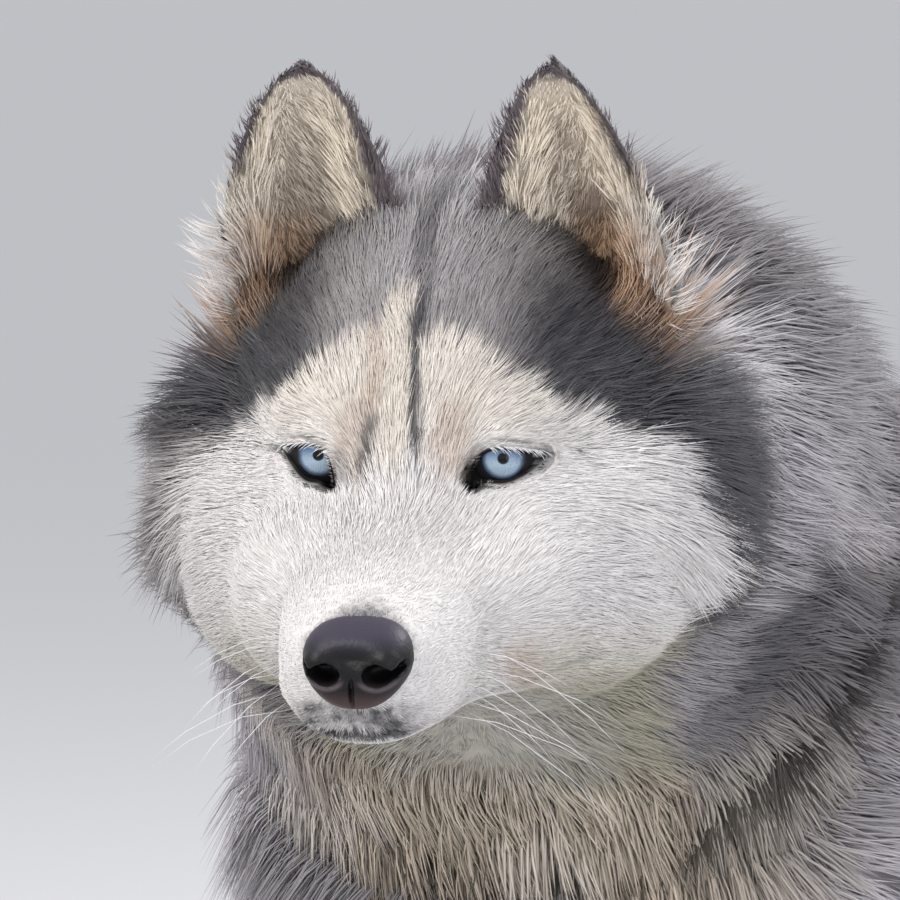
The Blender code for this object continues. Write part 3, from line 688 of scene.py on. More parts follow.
def paint_mask(paint, place, soft, fine):
    """The grey over the crown and cheeks, and the dark mask in it."""
    u, f, _, a, v = place
    out = np.where(u > 0, a, np.minimum(a, 72) - 0.3 * np.maximum(a - 72, 0))
    lower = np.interp(out, *MASK_EDGE)
    grey = step(v + 0.7 * soft, lower - 3, lower + 4)
    paint.lay(CREAM, 0.8 * step(v, -4, 16) * fall(a, 30, 70))
    paint.lay(GREY, grey * np.clip(0.86 + 0.10 * fine, 0, 1))
    mask = grey * step(a, 20, 44) * fall(v + soft, 46, 82)
    rim = step(u, 67, 75) * step(-f, 47, 55) * step(v, -92, -62)
    mask = np.maximum(mask, rim * 0.95)
    paint.lay(CHARCOAL, np.clip(mask * (0.90 + 0.12 * fine), 0, 1))


def paint_cheeks(paint, place, fine):
    """Silver behind the cheeks, with grey below that is partly painted shade, white above on the near
    side as painted light, and a dark fringe on the right one.
    """
    u, f, _, a, v = place
    behind = step(-f, 67, 82) * step(a, 52, 70) * fall(v, 30, 62)
    paint.lay(SILVER, behind * np.clip(0.9 + 0.2 * fine, 0, 1))
    # Painted shade on the lower part behind the cheeks, partly the coat's own grey, then painted light
    # on the upper near side
    paint.lay(GREY, 0.5 * behind * step(-v, 20, 60))
    paint.lay(WHITE, 0.4 * behind * step(u, 50, 76) * step(v, 10, 50))
    fringe = step(-u, 58, 70) * step(-f, 26, 44) * fall(v, 2, 14)
    paint.lay(NAPE, fringe * np.clip(0.75 + 0.2 * fine, 0, 1))


def paint_brow(paint, place, soft, fine):
    """A silver crown, beige beside the bridge of the nose, and the streaks of the brow."""
    u, _, _, a, v = place
    crown = step(v, 40, 60) * fall(a, 4, 34)
    paint.lay(SILVER, 0.35 * crown * (1 + fine * 0.5))
    between = fall(np.hypot((a - 15) / 9, (v - 1) / 17) + 0.05 * soft, 0.4, 1.2)
    paint.lay(BEIGE, 0.55 * between)
    for middle, lean, top, near, far, tone, weight, heights in STREAKS:
        across = np.abs(u - middle - lean * np.maximum(top - v, 0))
        paint.lay(tone, weight * fall(across, near, far) * band(v, *heights))


def paint_ear_bases(paint, place, fine):
    """Tan and white at the outer base of the ears, and painted shade at the inner, where ear and crown
    meet.
    """
    u, f, h, a, _ = place
    ear, inner_base_shade = near_ear(u, f, h)
    tan = np.clip(ear * fall(a, 70, 80) * step(f, -84, -70) * 1.1, 0, 1)
    paint.lay(EAR_TAN, 0.9 * tan * (0.85 + 0.15 * fine))
    paint.lay(WHITE, 0.85 * ear * step(a, 70, 80))
    # Painted shade: near black in the crease at the inner base of each ear
    paint.lay(LID, 0.8 * inner_base_shade)


def paint_muzzle(paint, place, fine):
    """Beige at the corner of the mouth, a dark chin, and a dark edge over the nose."""
    u, f, h, a, v = place
    corner = fall(np.hypot((u - 41) / 7, (v + 70) / 11), 0.3, 1.1)
    paint.lay(BEIGE, 0.5 * corner)
    chin = fall(a, 12, 26) * step(f, 76, 88) * band(-h, 48, 54, 63, 67)
    paint.lay(CHARCOAL, np.clip(chin * (0.6 + 0.5 * fine), 0, 0.95))
    away = np.hypot((u - NOSE_AT[0]) / NOSE_WIDE, (h - NOSE_AT[2]) / NOSE_TALL)
    top = fall(away, 1.02, 1.24) * step(h - NOSE_AT[2], 0, 8) * step(f, 66, 80)
    paint.lay(CHARCOAL, np.clip(top * (0.8 + 0.3 * fine), 0, 0.95))


def paint_lids(paint, points, fine):
    """The dark lids with their corners, and painted shade in the crease over each eye."""
    for side in (-1, 1):
        gap, x, z = lid_distance(points, side)
        liner = fall(gap + 0.2 * fine, 0.7, 2.0)
        inner = fall(np.hypot((x + 11) / 7, (z + 7) / 8), 0.5, 1.1) * (gap < 9)
        tail = band(x, 9, 12, 14, 19) * fall(np.abs(z - 0.12 * x), 0.8, 2.0)
        # Painted shade in the crease over the upper lid
        crease = fall(np.abs(gap - 3.4), 0.3, 0.9) * step(z, 1, 4) * band(x, -6, 0, 6, 11)
        paint.lay(CHARCOAL, 0.45 * inner)
        paint.lay(LID, 0.6 * crease * (gap < 9))
        paint.lay(LID, np.maximum(liner, 0.7 * tail * (gap < 12)))


def face_colours(points):
    """The markings of the head with painted shade and light laid over them, and of the hair that grows
    there.
    """
    place = _, f, h, a, v = face_place(points)
    soft = waves(points, 0.016, 5) * 3.0
    fine = waves(points, 0.006, 6)
    paint = Paint(points, WHITE)
    # Painted shade: the lower cheeks and jaw darkened to a warm olive cream
    low = step(-v, 46, 86) * step(a, 22, 56)
    paint.lay(LOW_SHADE, 0.8 * low)
    paint.lay(SILVER, 0.25 * step(a, 60, 100) * (1 - low))
    # Painted shadow: the throat under the jaw darkened to an olive grey
    paint.lay(JAW_SHADOW, 0.6 * step(-h, 70, 92) * step(-f, -66, -30))
    paint_mask(paint, place, soft, fine)
    paint_cheeks(paint, place, fine)
    paint_brow(paint, place, soft, fine)
    paint_ear_bases(paint, place, fine)
    paint_muzzle(paint, place, fine)
    paint_lids(paint, points, fine)
    mouth = fall(np.abs(h - mouth_height(f)), 1.0, 3.4)
    dark = 0.2 + 0.6 * step(f, 82, 92) * fall(a, 8, 20)
    paint.lay(LID, dark * mouth * (f > 10))
    paint.lay(NAPE, step(-f, 84, 118) * step(v, 40, 70) * 0.8 * fall(place[0], 36, 70))
    return paint.colour * (1 + 0.05 * fine)[:, None]


def mouth_height(f):
    """The height of the line of the mouth, from its corner out to the front."""
    return np.interp(f, (10, 16, 35, 60, 92, 112), (-66, -66, -69.5, -68.5, -63, -62.5))


def body_colours(points, normals):
    """Grey over the back, silver at the side, white below and on the legs."""
    rows = points - SHIFT
    x, y, z = rows.T
    soft = waves(points, 0.07, 8)
    fine = waves(points, 0.016, 9)
    top = normals[:, 2] + 0.16 * soft
    paint = Paint(points, SILVER)
    paint.lay(GREY, step(top, -0.1, 0.35))
    paint.lay(NAPE, 0.85 * step(top, 0.35, 0.85))
    below = step(-top, 0.25, 0.6)
    paint.lay(WHITE, below * step(y, -0.34, -0.20))
    front = step(-y, 0.30, 0.36)
    chest = front * fall(top, 0.0, 0.4) * fall(np.abs(x - 0.04), 0.06, 0.12)
    paint.lay(CHEST, 0.8 * chest * (1 - 0.6 * step(z, 0.46, 0.54)))
    bands = step(np.sin((z - 0.5 * np.abs(x)) * 95 + 2.2 * soft), 0.2, 0.9)
    paint.lay(CREAM, 0.6 * bands * front * step(-top, -0.2, 0.2))
    legs = fall(z + 0.025 * soft, 0.24, 0.34)
    legs = np.where(y > TAIL_START, 0, legs)
    paint.lay(WHITE, legs)
    shin = fall(np.abs(normals[:, 0]), 0.3, 0.8) * step(-normals[:, 1], 0.2, 0.8)
    paint.lay(SILVER, 0.3 * shin * legs)
    tail = step(y, TAIL_START, 0.36)
    paint.lay(NAPE, 0.8 * tail * step(normals[:, 1] + 0.3 * soft, -0.1, 0.6))
    paint.lay(WHITE, tail * step(-normals[:, 1] + 0.3 * soft, 0.0, 0.5))
    paint.lay(CHARCOAL, 0.7 * tail * fall(z, 0.19, 0.22))
    return paint.colour * (1 + 0.10 * fine)[:, None]


def coat_colours(points, normals):
    colour = mix(body_colours(points, normals), face_colours(points), head_share(points))
    u, f, _, _, v = face_place(points)
    # Painted shade: the near side of the neck below the ruff darkened towards charcoal
    shade = step(u, 46, 74) * band(-f, 84, 104, 165, 225) * step(-v, 16, 34)
    shade = shade * (0.7 - 0.3 * step(-v, 76, 100)) * fall(-v, 120, 150)
    return mix(colour, linear(CHARCOAL), shade)


def plug_in(tree, socket, value):
    """Links a value to a socket, or sets the socket to it."""
    if isinstance(value, Value):
        tree.links.new(value.socket, socket)
    else:
        socket.default_value = value


class Value:
    """A shader socket whose arithmetic adds Math nodes."""

    def __init__(self, tree, socket):
        self.tree, self.socket = tree, socket

    def math(self, operation, *others):
        node = self.tree.nodes.new("ShaderNodeMath")
        node.operation = operation
        for socket, value in zip(node.inputs, (self, *others)):
            plug_in(self.tree, socket, value)
        return Value(self.tree, node.outputs[0])

    def __add__(self, other):
        return self.math("ADD", other)

    def __sub__(self, other):
        return self.math("SUBTRACT", other)

    def __mul__(self, other):
        return self.math("MULTIPLY", other)

    def __truediv__(self, other):
        return self.math("DIVIDE", other)

    def __rsub__(self, other):
        return self * -1.0 + other

    __radd__ = __add__
    __rmul__ = __mul__

    def ramp(self, low, high):
        """0 below low and 1 above high."""
        node = self.tree.nodes.new("ShaderNodeMapRange")
        node.interpolation_type = "SMOOTHSTEP"
        node.inputs["From Min"].default_value = low
        node.inputs["From Max"].default_value = high
        self.tree.links.new(self.socket, node.inputs["Value"])
        return Value(self.tree, node.outputs["Result"])


class Look:
    """A material and the nodes that feed its Principled shader."""

    def __init__(self, name, colour, roughness, **constants):
        self.material = bpy.data.materials.new(name)
        self.material.use_nodes = True
        self.tree = self.material.node_tree
        self.shader = self.tree.nodes["Principled BSDF"]
        self.shader.inputs["Base Color"].default_value = (*linear(colour), 1)
        self.shader.inputs["Roughness"].default_value = roughness
        for socket, value in constants.items():
            self.shader.inputs[socket.replace("_", " ")].default_value = value

    def node(self, kind, settings=(), **sockets):
        node = self.tree.nodes.new("ShaderNode" + kind)
        for name, value in dict(settings).items():
            setattr(node, name, value)
        for name, value in sockets.items():
            plug_in(self.tree, node.inputs[name.replace("_", " ")], value)
        return node

    def value(self, node, output=0):
        return Value(self.tree, node.outputs[output])

    def feed(self, socket, value):
        self.tree.links.new(value.socket, self.shader.inputs[socket])

    def blend(self, factor, a, b):
        node = self.node("Mix", {"data_type": "RGBA"})
        self.tree.links.new(factor.socket, node.inputs[0])
        for socket, colour in ((node.inputs[6], a), (node.inputs[7], b)):
            plug_in(self.tree, socket, colour if isinstance(colour, Value) else (*linear(colour), 1))
        return self.value(node, 2)

    def attribute(self, name, output):
        return self.value(self.node("Attribute", {"attribute_name": name}), output)

    def bump(self, height, distance):
        node = self.node("Bump", Height=height, Distance=distance)
        self.feed("Normal", self.value(node))


def coat_look(name, roughness):
    look = Look(name, WHITE, roughness, Specular_IOR_Level=0.25)
    look.feed("Base Color", look.attribute("Coat", "Color"))
    return look


def nose_look():
    look = Look("nose leather", (20, 18, 22), 0.4, Specular_IOR_Level=0.28)
    place = look.value(look.node("TexCoord"), "Object")
    cells = look.node("TexVoronoi", {"feature": "SMOOTH_F1"}, Vector=place, Scale=900.0)
    look.bump(look.value(cells, "Distance") * -1.0 + 1.0, 0.00009)
    cloud = look.value(look.node("TexNoise", Vector=place, Scale=70.0), "Fac")
    look.feed("Roughness", cloud * 0.2 + 0.38)
    height = look.value(look.node("SeparateXYZ", Vector=place), "Z")
    low = float(head_point(0, 104, NOSE_AT[2] - 6)[2])
    high = float(head_point(0, 104, NOSE_AT[2] + 4)[2])
    # Painted sheen: the top of the nose lighter slate than its near black front
    leather = look.blend(height.ramp(high, high + 0.009), (10, 9, 11), (56, 52, 66))
    leather = look.blend(height.ramp(low, low - 0.006), leather, (66, 50, 48))
    leather = look.blend(look.attribute("Rim", "Fac"), leather, (128, 112, 118))
    # Painted shade in the nostrils and the groove
    look.feed("Base Color", look.blend(look.attribute("HollowShade", "Fac"), leather, (2, 2, 2)))
    return look


def eye_look():
    look = Look("eye", (150, 175, 200), 0.06, Coat_Weight=1.0, Coat_Roughness=0.02,
                Specular_IOR_Level=0.2)
    split = look.node("SeparateXYZ", Vector=look.attribute("Gaze", "Vector"))
    x, z = look.value(split, "X"), look.value(split, "Z")
    radius = (x * x + z * z).math("SQRT")
    angle = x.math("ARCTAN2", z)
    fibre_at = look.node("CombineXYZ", X=angle * 9.0, Y=radius * 0.5, Z=0.0)
    fibres = look.value(look.node("TexNoise", Vector=look.value(fibre_at), Scale=2.2), "Fac")
    iris = look.blend(fibres.ramp(0.35, 0.7), (136, 159, 180), (172, 188, 198))
    # Painted shadow of the upper lid: the top of the iris darker
    iris = look.blend(z.ramp(-2.5, 2.6), iris, (80, 104, 134))
    iris = look.blend(radius.ramp(5.2, 6.9), iris, (58, 78, 104))
    iris = look.blend(radius.ramp(6.6, 7.5), iris, (20, 22, 28))
    iris = look.blend(radius.ramp(2.25, 1.7), iris, (3, 3, 4))
    white = look.blend(radius.ramp(7.4, 7.9), iris, (22, 19, 20))
    look.feed("Base Color", white)
    look.feed("Coat Weight", radius.ramp(8.2, 7.2) * 0.32 + 0.02)
    look.feed("Roughness", radius.ramp(7.2, 8.2) * 0.6 + 0.1)
    return look


def hold(obj, slot, material, *nodes):
    """Gives a finished piece its material and place in the frame."""
    obj.data.materials.clear()
    obj.data.materials.append(material)
    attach(obj, "root")
    if nodes:
        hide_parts(*nodes)
    return obj


def round_off(obj):
    activate(obj)
    bpy.ops.object.shade_smooth()
    return obj


def nose_rings():
    """The nose pad from front to back: f, h, half width, reach up and reach down."""
    rows = [
        (16.2, 0, 5, 4, 5), (15.2, 0, 11.5, 8.5, 11), (11, 0, 15.8, 11.5, 13.6),
        (3, 0, 17.6, 13.2, 13.4), (-8, -1, 16.6, 12.6, 11.4),
    ]
    rings = []
    for f, h, wide, above, below in smooth_rows(rows, 6):
        ring = oval((0, f, h), ACROSS, ABOVE, wide, above, below, 0.7, 48)
        down = np.clip((h - ring[:, 2]) / below, 0, 1)
        rise = np.clip((ring[:, 2] - h) / above, 0, 1)
        ring[:, 0] *= 1.04 - 0.30 * down**1.3 - 0.06 * rise**2
        ring[:, 1] -= 3.5 * rise**2
        rings.append(EYES + (NOSE_AT + ring) @ HEAD * MM)
    return rings


def nose_shape(voxel):
    pad = loft("nose_pad", nose_rings())
    for side in (-1, 1):
        wing = head_ball("wing", *(NOSE_AT + (side * 10.8, 9.0, 1.0)), (6.2, 7.2, 7.2))
        pad = joined("nose_pad", [pad, wing])
    pad = melted("nose_pad", [pad], voxel, 2)
    for side in (-1, 1):
        place = NOSE_AT + (side * NOSTRIL_OUT, 15.0, NOSTRIL_LOW)
        cut(pad, head_ball("hollow", *place, (NOSTRIL_WIDE, 9, NOSTRIL_TALL)))
        for out, lower in ((13.0, -0.6), (15.2, 0.4), (17.4, 2.0)):
            cut(pad, head_ball("slot", *(NOSE_AT + (side * out, 12.0, lower)), (2.6, 7, 1.35)))
    cut(pad, head_ball("groove", *(NOSE_AT + (0, 17.0, -8)), (0.95, 4.6, 10)))
    return melted("nose_pad", [pad], voxel, 3)


def ear_frame():
    inner, outer, tip = (np.array(p, float) for p in ((13, -70, 44), (76, -80, 20), (43.5, -62, 118)))
    return inner, outer, tip, (inner + outer) / 2


def ear_width(rise):
    """Half the width of an ear at a share of its height."""
    return EAR_WIDE * np.maximum(0.0, 1 - rise**1.5) ** 0.6 + 0.8


def ear_row(rise):
    """Middle, across, behind, half width and cup of the ear at a share of its height."""
    inner, outer, tip, base = ear_frame()
    centre = base + (tip - base) * rise + np.array((2.5, 0, 0)) * math.sin(math.pi * rise)
    across = unit(unit(outer - inner) * (1 - rise) + np.array((0.97, 0.24, 0)) * rise)
    behind = unit(np.cross(across, unit(tip - base)))
    if behind[1] > 0:
        behind = -behind
    return centre, across, behind, ear_width(rise), 17 * (1 - rise) ** 0.7 + 1.0


def ear_shape(side):
    rings = []
    turns = np.linspace(-1, 1, 25)
    for rise in np.sin(np.linspace(0, 1, 36) * math.pi / 2):
        centre, across, behind, wide, cup = ear_row(rise)
        bow = 1 - turns**2
        front = centre + np.outer(turns * wide, across) + np.outer(cup * bow, behind)
        back = front + np.outer(0.8 + 3.2 * bow, behind)
        ring = np.concatenate([front, back[::-1]]) * (side, 1, 1)
        rings.append(EYES + ring @ HEAD * MM)
    return loft("ear", rings)


def ear_place(points, side):
    """Share of the ear's height, and how far across it from -1 at its inner edge to 1."""
    local = head_place(points) * (side, 1, 1)
    _, _, tip, base = ear_frame()
    axis = tip - base
    rise = np.clip((local - base) @ axis / (axis @ axis), 0, 1)
    centre = base + np.outer(rise, axis) + np.outer(np.sin(math.pi * rise), (2.5, 0, 0))
    across = unit(np.array((0.97, 0.20, -0.10)))
    return rise, (local - centre) @ across / ear_width(rise)


def ear_colours(points, normals, side):
    rise, t = ear_place(points, side)
    behind = unit(np.array((0, -1, 0.3))) * (side, 1, 1) @ HEAD
    back = step(normals @ behind, -0.15, 0.25)
    fine = waves(points, 0.008, 12)
    # The brown of the hollow is partly the ear's own colour and partly painted shade, stronger on the
    # left ear
    hollow = step(0.50 - rise + 0.06 * fine, 0.0, 0.2) * fall(np.abs(t - 0.1), 0.16, 0.48)
    paint = Paint(points, EAR_INNER)
    paint.lay(EAR_HOLLOW, (0.8 if side > 0 else 0.5) * hollow)
    paint.lay(EAR_TAN, 0.7 * fall(rise, 0.10, 0.34) * step(t, -0.6, 0.3))
    streak = fall(np.abs(t + 0.15), 0.2, 0.5) * band(rise, 0.3, 0.45, 0.6, 0.8)
    paint.lay(EAR_HOLLOW, streak * np.clip(0.25 + 0.3 * fine, 0, 1))
    rim = step(np.abs(t) + 0.05 * fine, 0.72, 0.84) * step(rise - 0.5 * t, -0.1, 0.2)
    rim = np.maximum(rim, step(rise, 0.91, 0.96))
    paint.lay(EAR_RIM, 0.9 * rim)
    outer = mix(linear(CHARCOAL), linear(NAPE), 0.5 + 0.3 * fine)
    return mix(paint.colour, outer, back), back


def ways(*parts):
    """Directions from their three parts, each a number or one value for each point."""
    return np.stack(np.broadcast_arrays(*parts), 1)


def along_skin(way, normals):
    """Directions turned to lie along the skin."""
    return unit(way - normals * (way * normals).sum(1)[:, None])


def head_flow(place):
    """Which way the hair of the head lies, in the head's own axes."""
    u, f, h = place.T
    a, side = np.abs(u), np.tanh(u / 9)
    muzzle = step(f, 2, 26)
    brow = step(h, 0, 26) * (1 - muzzle)
    cheek = ways(side * (0.25 + 0.7 * step(a, 5, 30)), -0.75, -0.62 + 1.0 * step(h, -34, 34))
    centre = step(h, -34, -14) * fall(a, 12, 34) * (1 - muzzle)
    way = mix(cheek, ways(u / 60, -0.6, 0.9), np.maximum(brow * fall(a, 20, 62), centre))
    top = ways(u / 160, -1, 0.1 + 0.5 * step(-f, 60, 110))
    way = mix(way, top, brow * step(-f, 30, 70))
    ear, _ = near_ear(u, f, h)
    way = mix(way, ways(side * 0.55, -0.3, 0.9), 0.8 * ear)
    way = mix(way, ways(side * 0.22, -1, 0.12 * step(h, -60, -30) - 0.12), muzzle)
    return mix(way, ways(side * 0.3, -1, -0.1), step(-h, 58, 88) * (1 - muzzle))


def body_flow(rows):
    """Which way the hair of the body lies, at points of the body's rows."""
    _, y, z = rows.T
    way = mix((0, 1, -0.30), (0, 0.30, -1), step(-y, 0.31, 0.35) * step(0.60 - z, 0.08, 0.16))
    way = mix(way, (0, 1, -0.05), step(y, -0.28, -0.16) * step(z, 0.50, 0.56))
    way = mix(way, (0, 0.08, -1), fall(z, 0.26, 0.34))
    thigh = step(y, 0.10, 0.16) * band(z, 0.27, 0.32, 0.46, 0.53)
    way = mix(way, (0, 0.45, -0.9), thigh)
    along = np.array([row[:3] for row in TAIL])
    nearest = np.argmin(((rows[:, None] - along[None]) ** 2).sum(2), axis=1)
    nearest = np.clip(nearest, 1, len(along) - 2)
    tail = unit(along[nearest + 1] - along[nearest - 1])
    return mix(way, tail, step(y, 0.315, 0.335))


def flow(points):
    """Which way the coat lies at each point of the skin."""
    ahead = unit(head_flow(head_place(points))) @ HEAD
    behind = unit(body_flow(points - SHIFT))
    return unit(mix(behind, ahead, head_share(points)))


def near_ear(u, f, h):
    """How near a place of the head is to the outer base of an ear, and to its inner base."""
    a = np.abs(u)
    outer = fall(np.sqrt((a - 70) ** 2 + (f + 72) ** 2 + (h - 27) ** 2), 9, 27)
    t = np.clip((a - 16) / 30, 0, 1)
    inner = fall(np.sqrt((a - 16 - 30 * t) ** 2 + (f + 70) ** 2 + (h - 45 + 9 * t) ** 2), 9, 19)
    return outer, inner


def hair_sizes(points):
    """Length, width and rise of the hair at each point, in millimetres and a slope."""
    u, f, h, a, v = face_place(points)
    x, y, z = (points - SHIFT).T
    length = 4.0 + 7.0 * step(-f, -88, -10)
    ruff = step(-f, -16, 54) * step(a + 0.4 * np.maximum(-h - 20, 0), 30, 90)
    length = length + 34 * ruff * (1 - 0.55 * step(h, 15, 50))
    length = length + 8 * step(-f, 0, 60) * step(h, 30, 70)
    length = length * (1 - 0.5 * step(-h, 62, 100))
    length = length * (0.22 + 0.78 * step(lid_gap(points), 0, 13))
    length = length * (0.6 + 0.4 * step(np.hypot(u, h + 36) - 18, 0, 8) * (f > 70) + 0.4 * (f <= 70))
    back = step(v, 52, 84) * step(-f, 40, 96)
    ear, _ = near_ear(u, f, h)
    far = step(-u, 50, 70) * step(-f, 14, 44) * step(-v, 4, 34)
    length = length + 28 * back + 12 * ear + 10 * far
    rise = 0.13 + 0.27 * step(length, 10, 36) + 0.4 * back + 0.3 * ear + 0.35 * far
    width = 0.31 + 0.30 * step(length, 8, 45)
    body = 46 - 14 * step(y, -0.26, -0.05) * step(z, 0.36, 0.44)
    body = body - 30 * fall(z, 0.20, 0.33) * (y < TAIL_START)
    body = body - 9 * fall(z, 0.03, 0.08) * (y < TAIL_START)
    breeches = step(y, 0.19, 0.26) * band(z, 0.26, 0.34, 0.44, 0.52) * (y < TAIL_START)
    body = body + 12 * breeches + 18 * step(y, 0.325, 0.35)
    slope = 0.40 - 0.08 * step(y, -0.26, -0.1) + 0.2 * step(y, 0.325, 0.36) + 0.1 * breeches
    share = head_share(points)
    breast = step(-x, 0.05, 0.10) * step(-y, 0.25, 0.31) * fall(z, 0.50, 0.56)
    slope = slope + 0.3 * breast + 0.35 * step(-y, 0.26, 0.36) * step(z, 0.58, 0.64)
    wide = 0.95 + 1.15 * step(y, -0.30, -0.14)
    wide = wide - 0.6 * fall(z, 0.20, 0.33) * step(y, -0.30, -0.14)
    return (length * share + body * (1 - share), width * share + wide * (1 - share),
            rise * share + slope * (1 - share))


def fans(mesh):
    """The faces as triangles, in an order that only the numbers of their points decide."""
    found = []
    for face in mesh.polygons:
        ring = list(face.vertices)
        first = ring.index(min(ring))
        ring = ring[first:] + ring[:first]
        found += [(ring[0], b, c) for b, c in zip(ring[1:], ring[2:])]
    return np.array(sorted(found))


def sample(obj, count, draw, density):
    """Points spread over an object's faces, with the smooth normal at each."""
    tris = fans(obj.data)
    points, normals = points_of(obj), normals_of(obj)
    a, b, c = points[tris].transpose(1, 0, 2)
    area = np.linalg.norm(np.cross(b - a, c - a), axis=1) * density((a + b + c) / 3)
    pick = draw.choice(len(tris), count, p=area / area.sum())
    s, t = np.sqrt(draw.random(count))[:, None], draw.random(count)[:, None]
    weights = (1 - s, s * (1 - t), s * t)
    place = sum(w * points[tris[pick, i]] for i, w in enumerate(weights))
    normal = unit(sum(w * normals[tris[pick, i]] for i, w in enumerate(weights)))
    return place, normal


def in_the_open(tree, points, normals):
    """Whether each root is bare of any other skin over it."""
    found = np.ones(len(points), bool)
    for i, (p, n) in enumerate(zip(points, normals)):
        start = Vector(p + n * 0.0006)
        hit, normal, _, _ = tree.ray_cast(start, Vector(n), 0.15)
        found[i] = hit is None or normal.dot(Vector(n)) < 0
    return found


def unwrap(points):
    """The skin's own unwrap: head, trunk, tail and each leg have a tile of the square."""
    u, f, h = head_place(points).T
    x, y, z = (points - SHIFT).T
    share = head_share(points) > 0.5
    flat = np.stack([0.5 + np.arctan2(u, h + 35) / TAU, np.clip((f + 140) / 250, 0, 1)], 1)
    trunk = np.stack([0.5 + np.arctan2(x, z - 0.42) / TAU, np.clip((y + 0.46) / 0.82, 0, 1) * 0.5], 1)
    tail = np.stack([0.5 + np.arctan2(x - 0.02, y - 0.40) / TAU, 0.52 + 0.12 * z / 0.6], 1)
    fore = y < 0
    about = np.arctan2(np.abs(x) - 0.09, y - np.where(fore, -0.195, 0.20))
    tile = np.where(x > 0, 0.0, 0.5) + np.where(fore, 0.0, 0.25)
    leg = np.stack([tile + 0.24 * (about / TAU + 0.5), 0.66 + 0.32 * np.clip(z / 0.34, 0, 1)], 1)
    body = np.where((y > TAIL_START)[:, None], tail, trunk)
    body = np.where(((z < 0.30) & (y < TAIL_START))[:, None], leg, body)
    return np.clip(np.where(share[:, None], flat, body), 0.002, 0.998)


def gathered(roots, tips, pull, share, draw):
    """Tips drawn in towards those of a few guide hairs, so that the coat clumps."""
    guides = draw.choice(len(roots), max(1, int(len(roots) * share)), replace=False)
    tree = KDTree(len(guides))
    for i, g in enumerate(guides):
        tree.insert(roots[g], i)
    tree.balance()
    near = guides[np.array([tree.find(p)[1] for p in roots])]
    offset = roots[near] - roots
    moved = tips[near] - roots[near] + offset
    return tips + (moved + roots - tips) * pull


def pressed(points):
    """Points at the flanks drawn in a little, and none under the floor."""
    found = points.copy()
    beyond = np.maximum(np.abs(points[:, 0]) - FLANK, 0)
    found[:, 0] -= np.sign(points[:, 0]) * beyond * 0.65
    found[:, 2] = np.maximum(points[:, 2], 0.0006)
    return found


def over_skin(tree, points, clear):
    """Points moved out until they clear the skin by the distances given."""
    found = points.copy()
    for i, p in enumerate(points):
        hit, normal, _, _ = tree.find_nearest(Vector(p), 0.03)
        if hit is None:
            continue
        gap = (Vector(p) - hit).dot(normal)
        if -0.02 < gap < clear[i]:
            found[i] += np.array(normal) * (clear[i] - gap)
    return pressed(found)


HAIR_UV = np.array(((0, -1.5), (-1.5, -0.5), (0, -0.5), (1.5, -0.5), (-1.5, 0.5), (0, 0.5),
                    (1.5, 0.5), (0, 1.5))) * 0.001


def hair_corners(paths, normals, widths, thin):
    """The corners of each hair from root to tip, and the direction each is shaded by."""
    ahead = unit(paths[:, -1] - paths[:, 0])
    side = unit(np.cross(ahead, normals))
    over = unit(np.cross(side, ahead))
    corners, shading = [paths[:, 0]], [unit(normals + over)]
    for r in range(1, paths.shape[1] - 1):
        half = widths * (0.5 if r == 1 else 0.40)
        for across, above in ((-1, -thin), (0, thin * 1.6), (1, -thin)):
            offset = side * (across * half)[:, None] + over * (above * half)[:, None]
            corners.append(paths[:, r] + offset)
            lean = side * across * 0.8 + over * (0.7 if across == 0 else -0.3)
            shading.append(unit(normals * 0.4 + lean))
    corners.append(paths[:, -1])
    shading.append(unit(normals * 0.3 + over * 0.3 + ahead * 0.7))
    return np.stack(corners, 1), np.stack(shading, 1)


def hair_faces(rings, count):
    """The triangles of all hairs: a fan at the root, walls between rings, a fan at the tip."""
    last = 3 * rings + 1
    faces = [(0, 2, 1), (0, 3, 2), (0, 1, 3)]
    for r in range(rings - 1):
        for i in range(3):
            a, b = 1 + 3 * r + i, 1 + 3 * r + (i + 1) % 3
            faces += [(a, b, b + 3), (a, b + 3, a + 3)]
    faces += [(last, last - 3 + i, last - 3 + (i + 1) % 3) for i in range(3)]
    return (np.array(faces) + (np.arange(count) * (last + 1))[:, None, None]).reshape(-1, 3)


def triangles(name, points, faces):
    """A new object made of triangles."""
    mesh = bpy.data.meshes.new(name)
    mesh.vertices.add(len(points))
    write(mesh.vertices, "co", points)
    mesh.loops.add(faces.size)
    write(mesh.loops, "vertex_index", faces, np.int32)
    mesh.polygons.add(len(faces))
    write(mesh.polygons, "loop_start", np.arange(0, faces.size, 3), np.int32)
    write(mesh.polygons, "loop_total", np.full(len(faces), 3), np.int32)
    mesh.update(calc_edges=True)
    obj = bpy.data.objects.new(name, mesh)
    bpy.context.scene.collection.objects.link(obj)
    return obj


def hair_mesh(name, paths, normals, widths, colours, places, thin=0.22):
    """One mesh of closed hairs: a root, one or two rings of three points, and a tip."""
    rings = paths.shape[1] - 2
    points, shading = hair_corners(paths, normals, widths, thin)
    faces = hair_faces(rings, len(paths))
    obj = triangles(name, points.reshape(-1, 3), faces)
    # Painted shade and light along each hair: 0.86 of its colour at the root rising to 1.06 at the tip
    levels = np.repeat(np.linspace(0, 1, rings + 2), [1, *([3] * rings), 1])
    root_shaded = colours[:, None] * (0.86 + 0.20 * levels)[None, :, None]
    colour_attribute(obj, root_shaded.reshape(-1, 3))
    spread = HAIR_UV[[0, 1, 2, 3, *([4, 5, 6] if rings > 1 else []), 7]]
    uv = (places[:, None] + spread[None]).reshape(-1, 2)
    write(obj.data.uv_layers.new(name="OFBake").data, "uv", uv[faces.ravel()])
    obj.data.shade_smooth()
    obj.data.normals_split_custom_set_from_vertices(shading.reshape(-1, 3))
    return obj


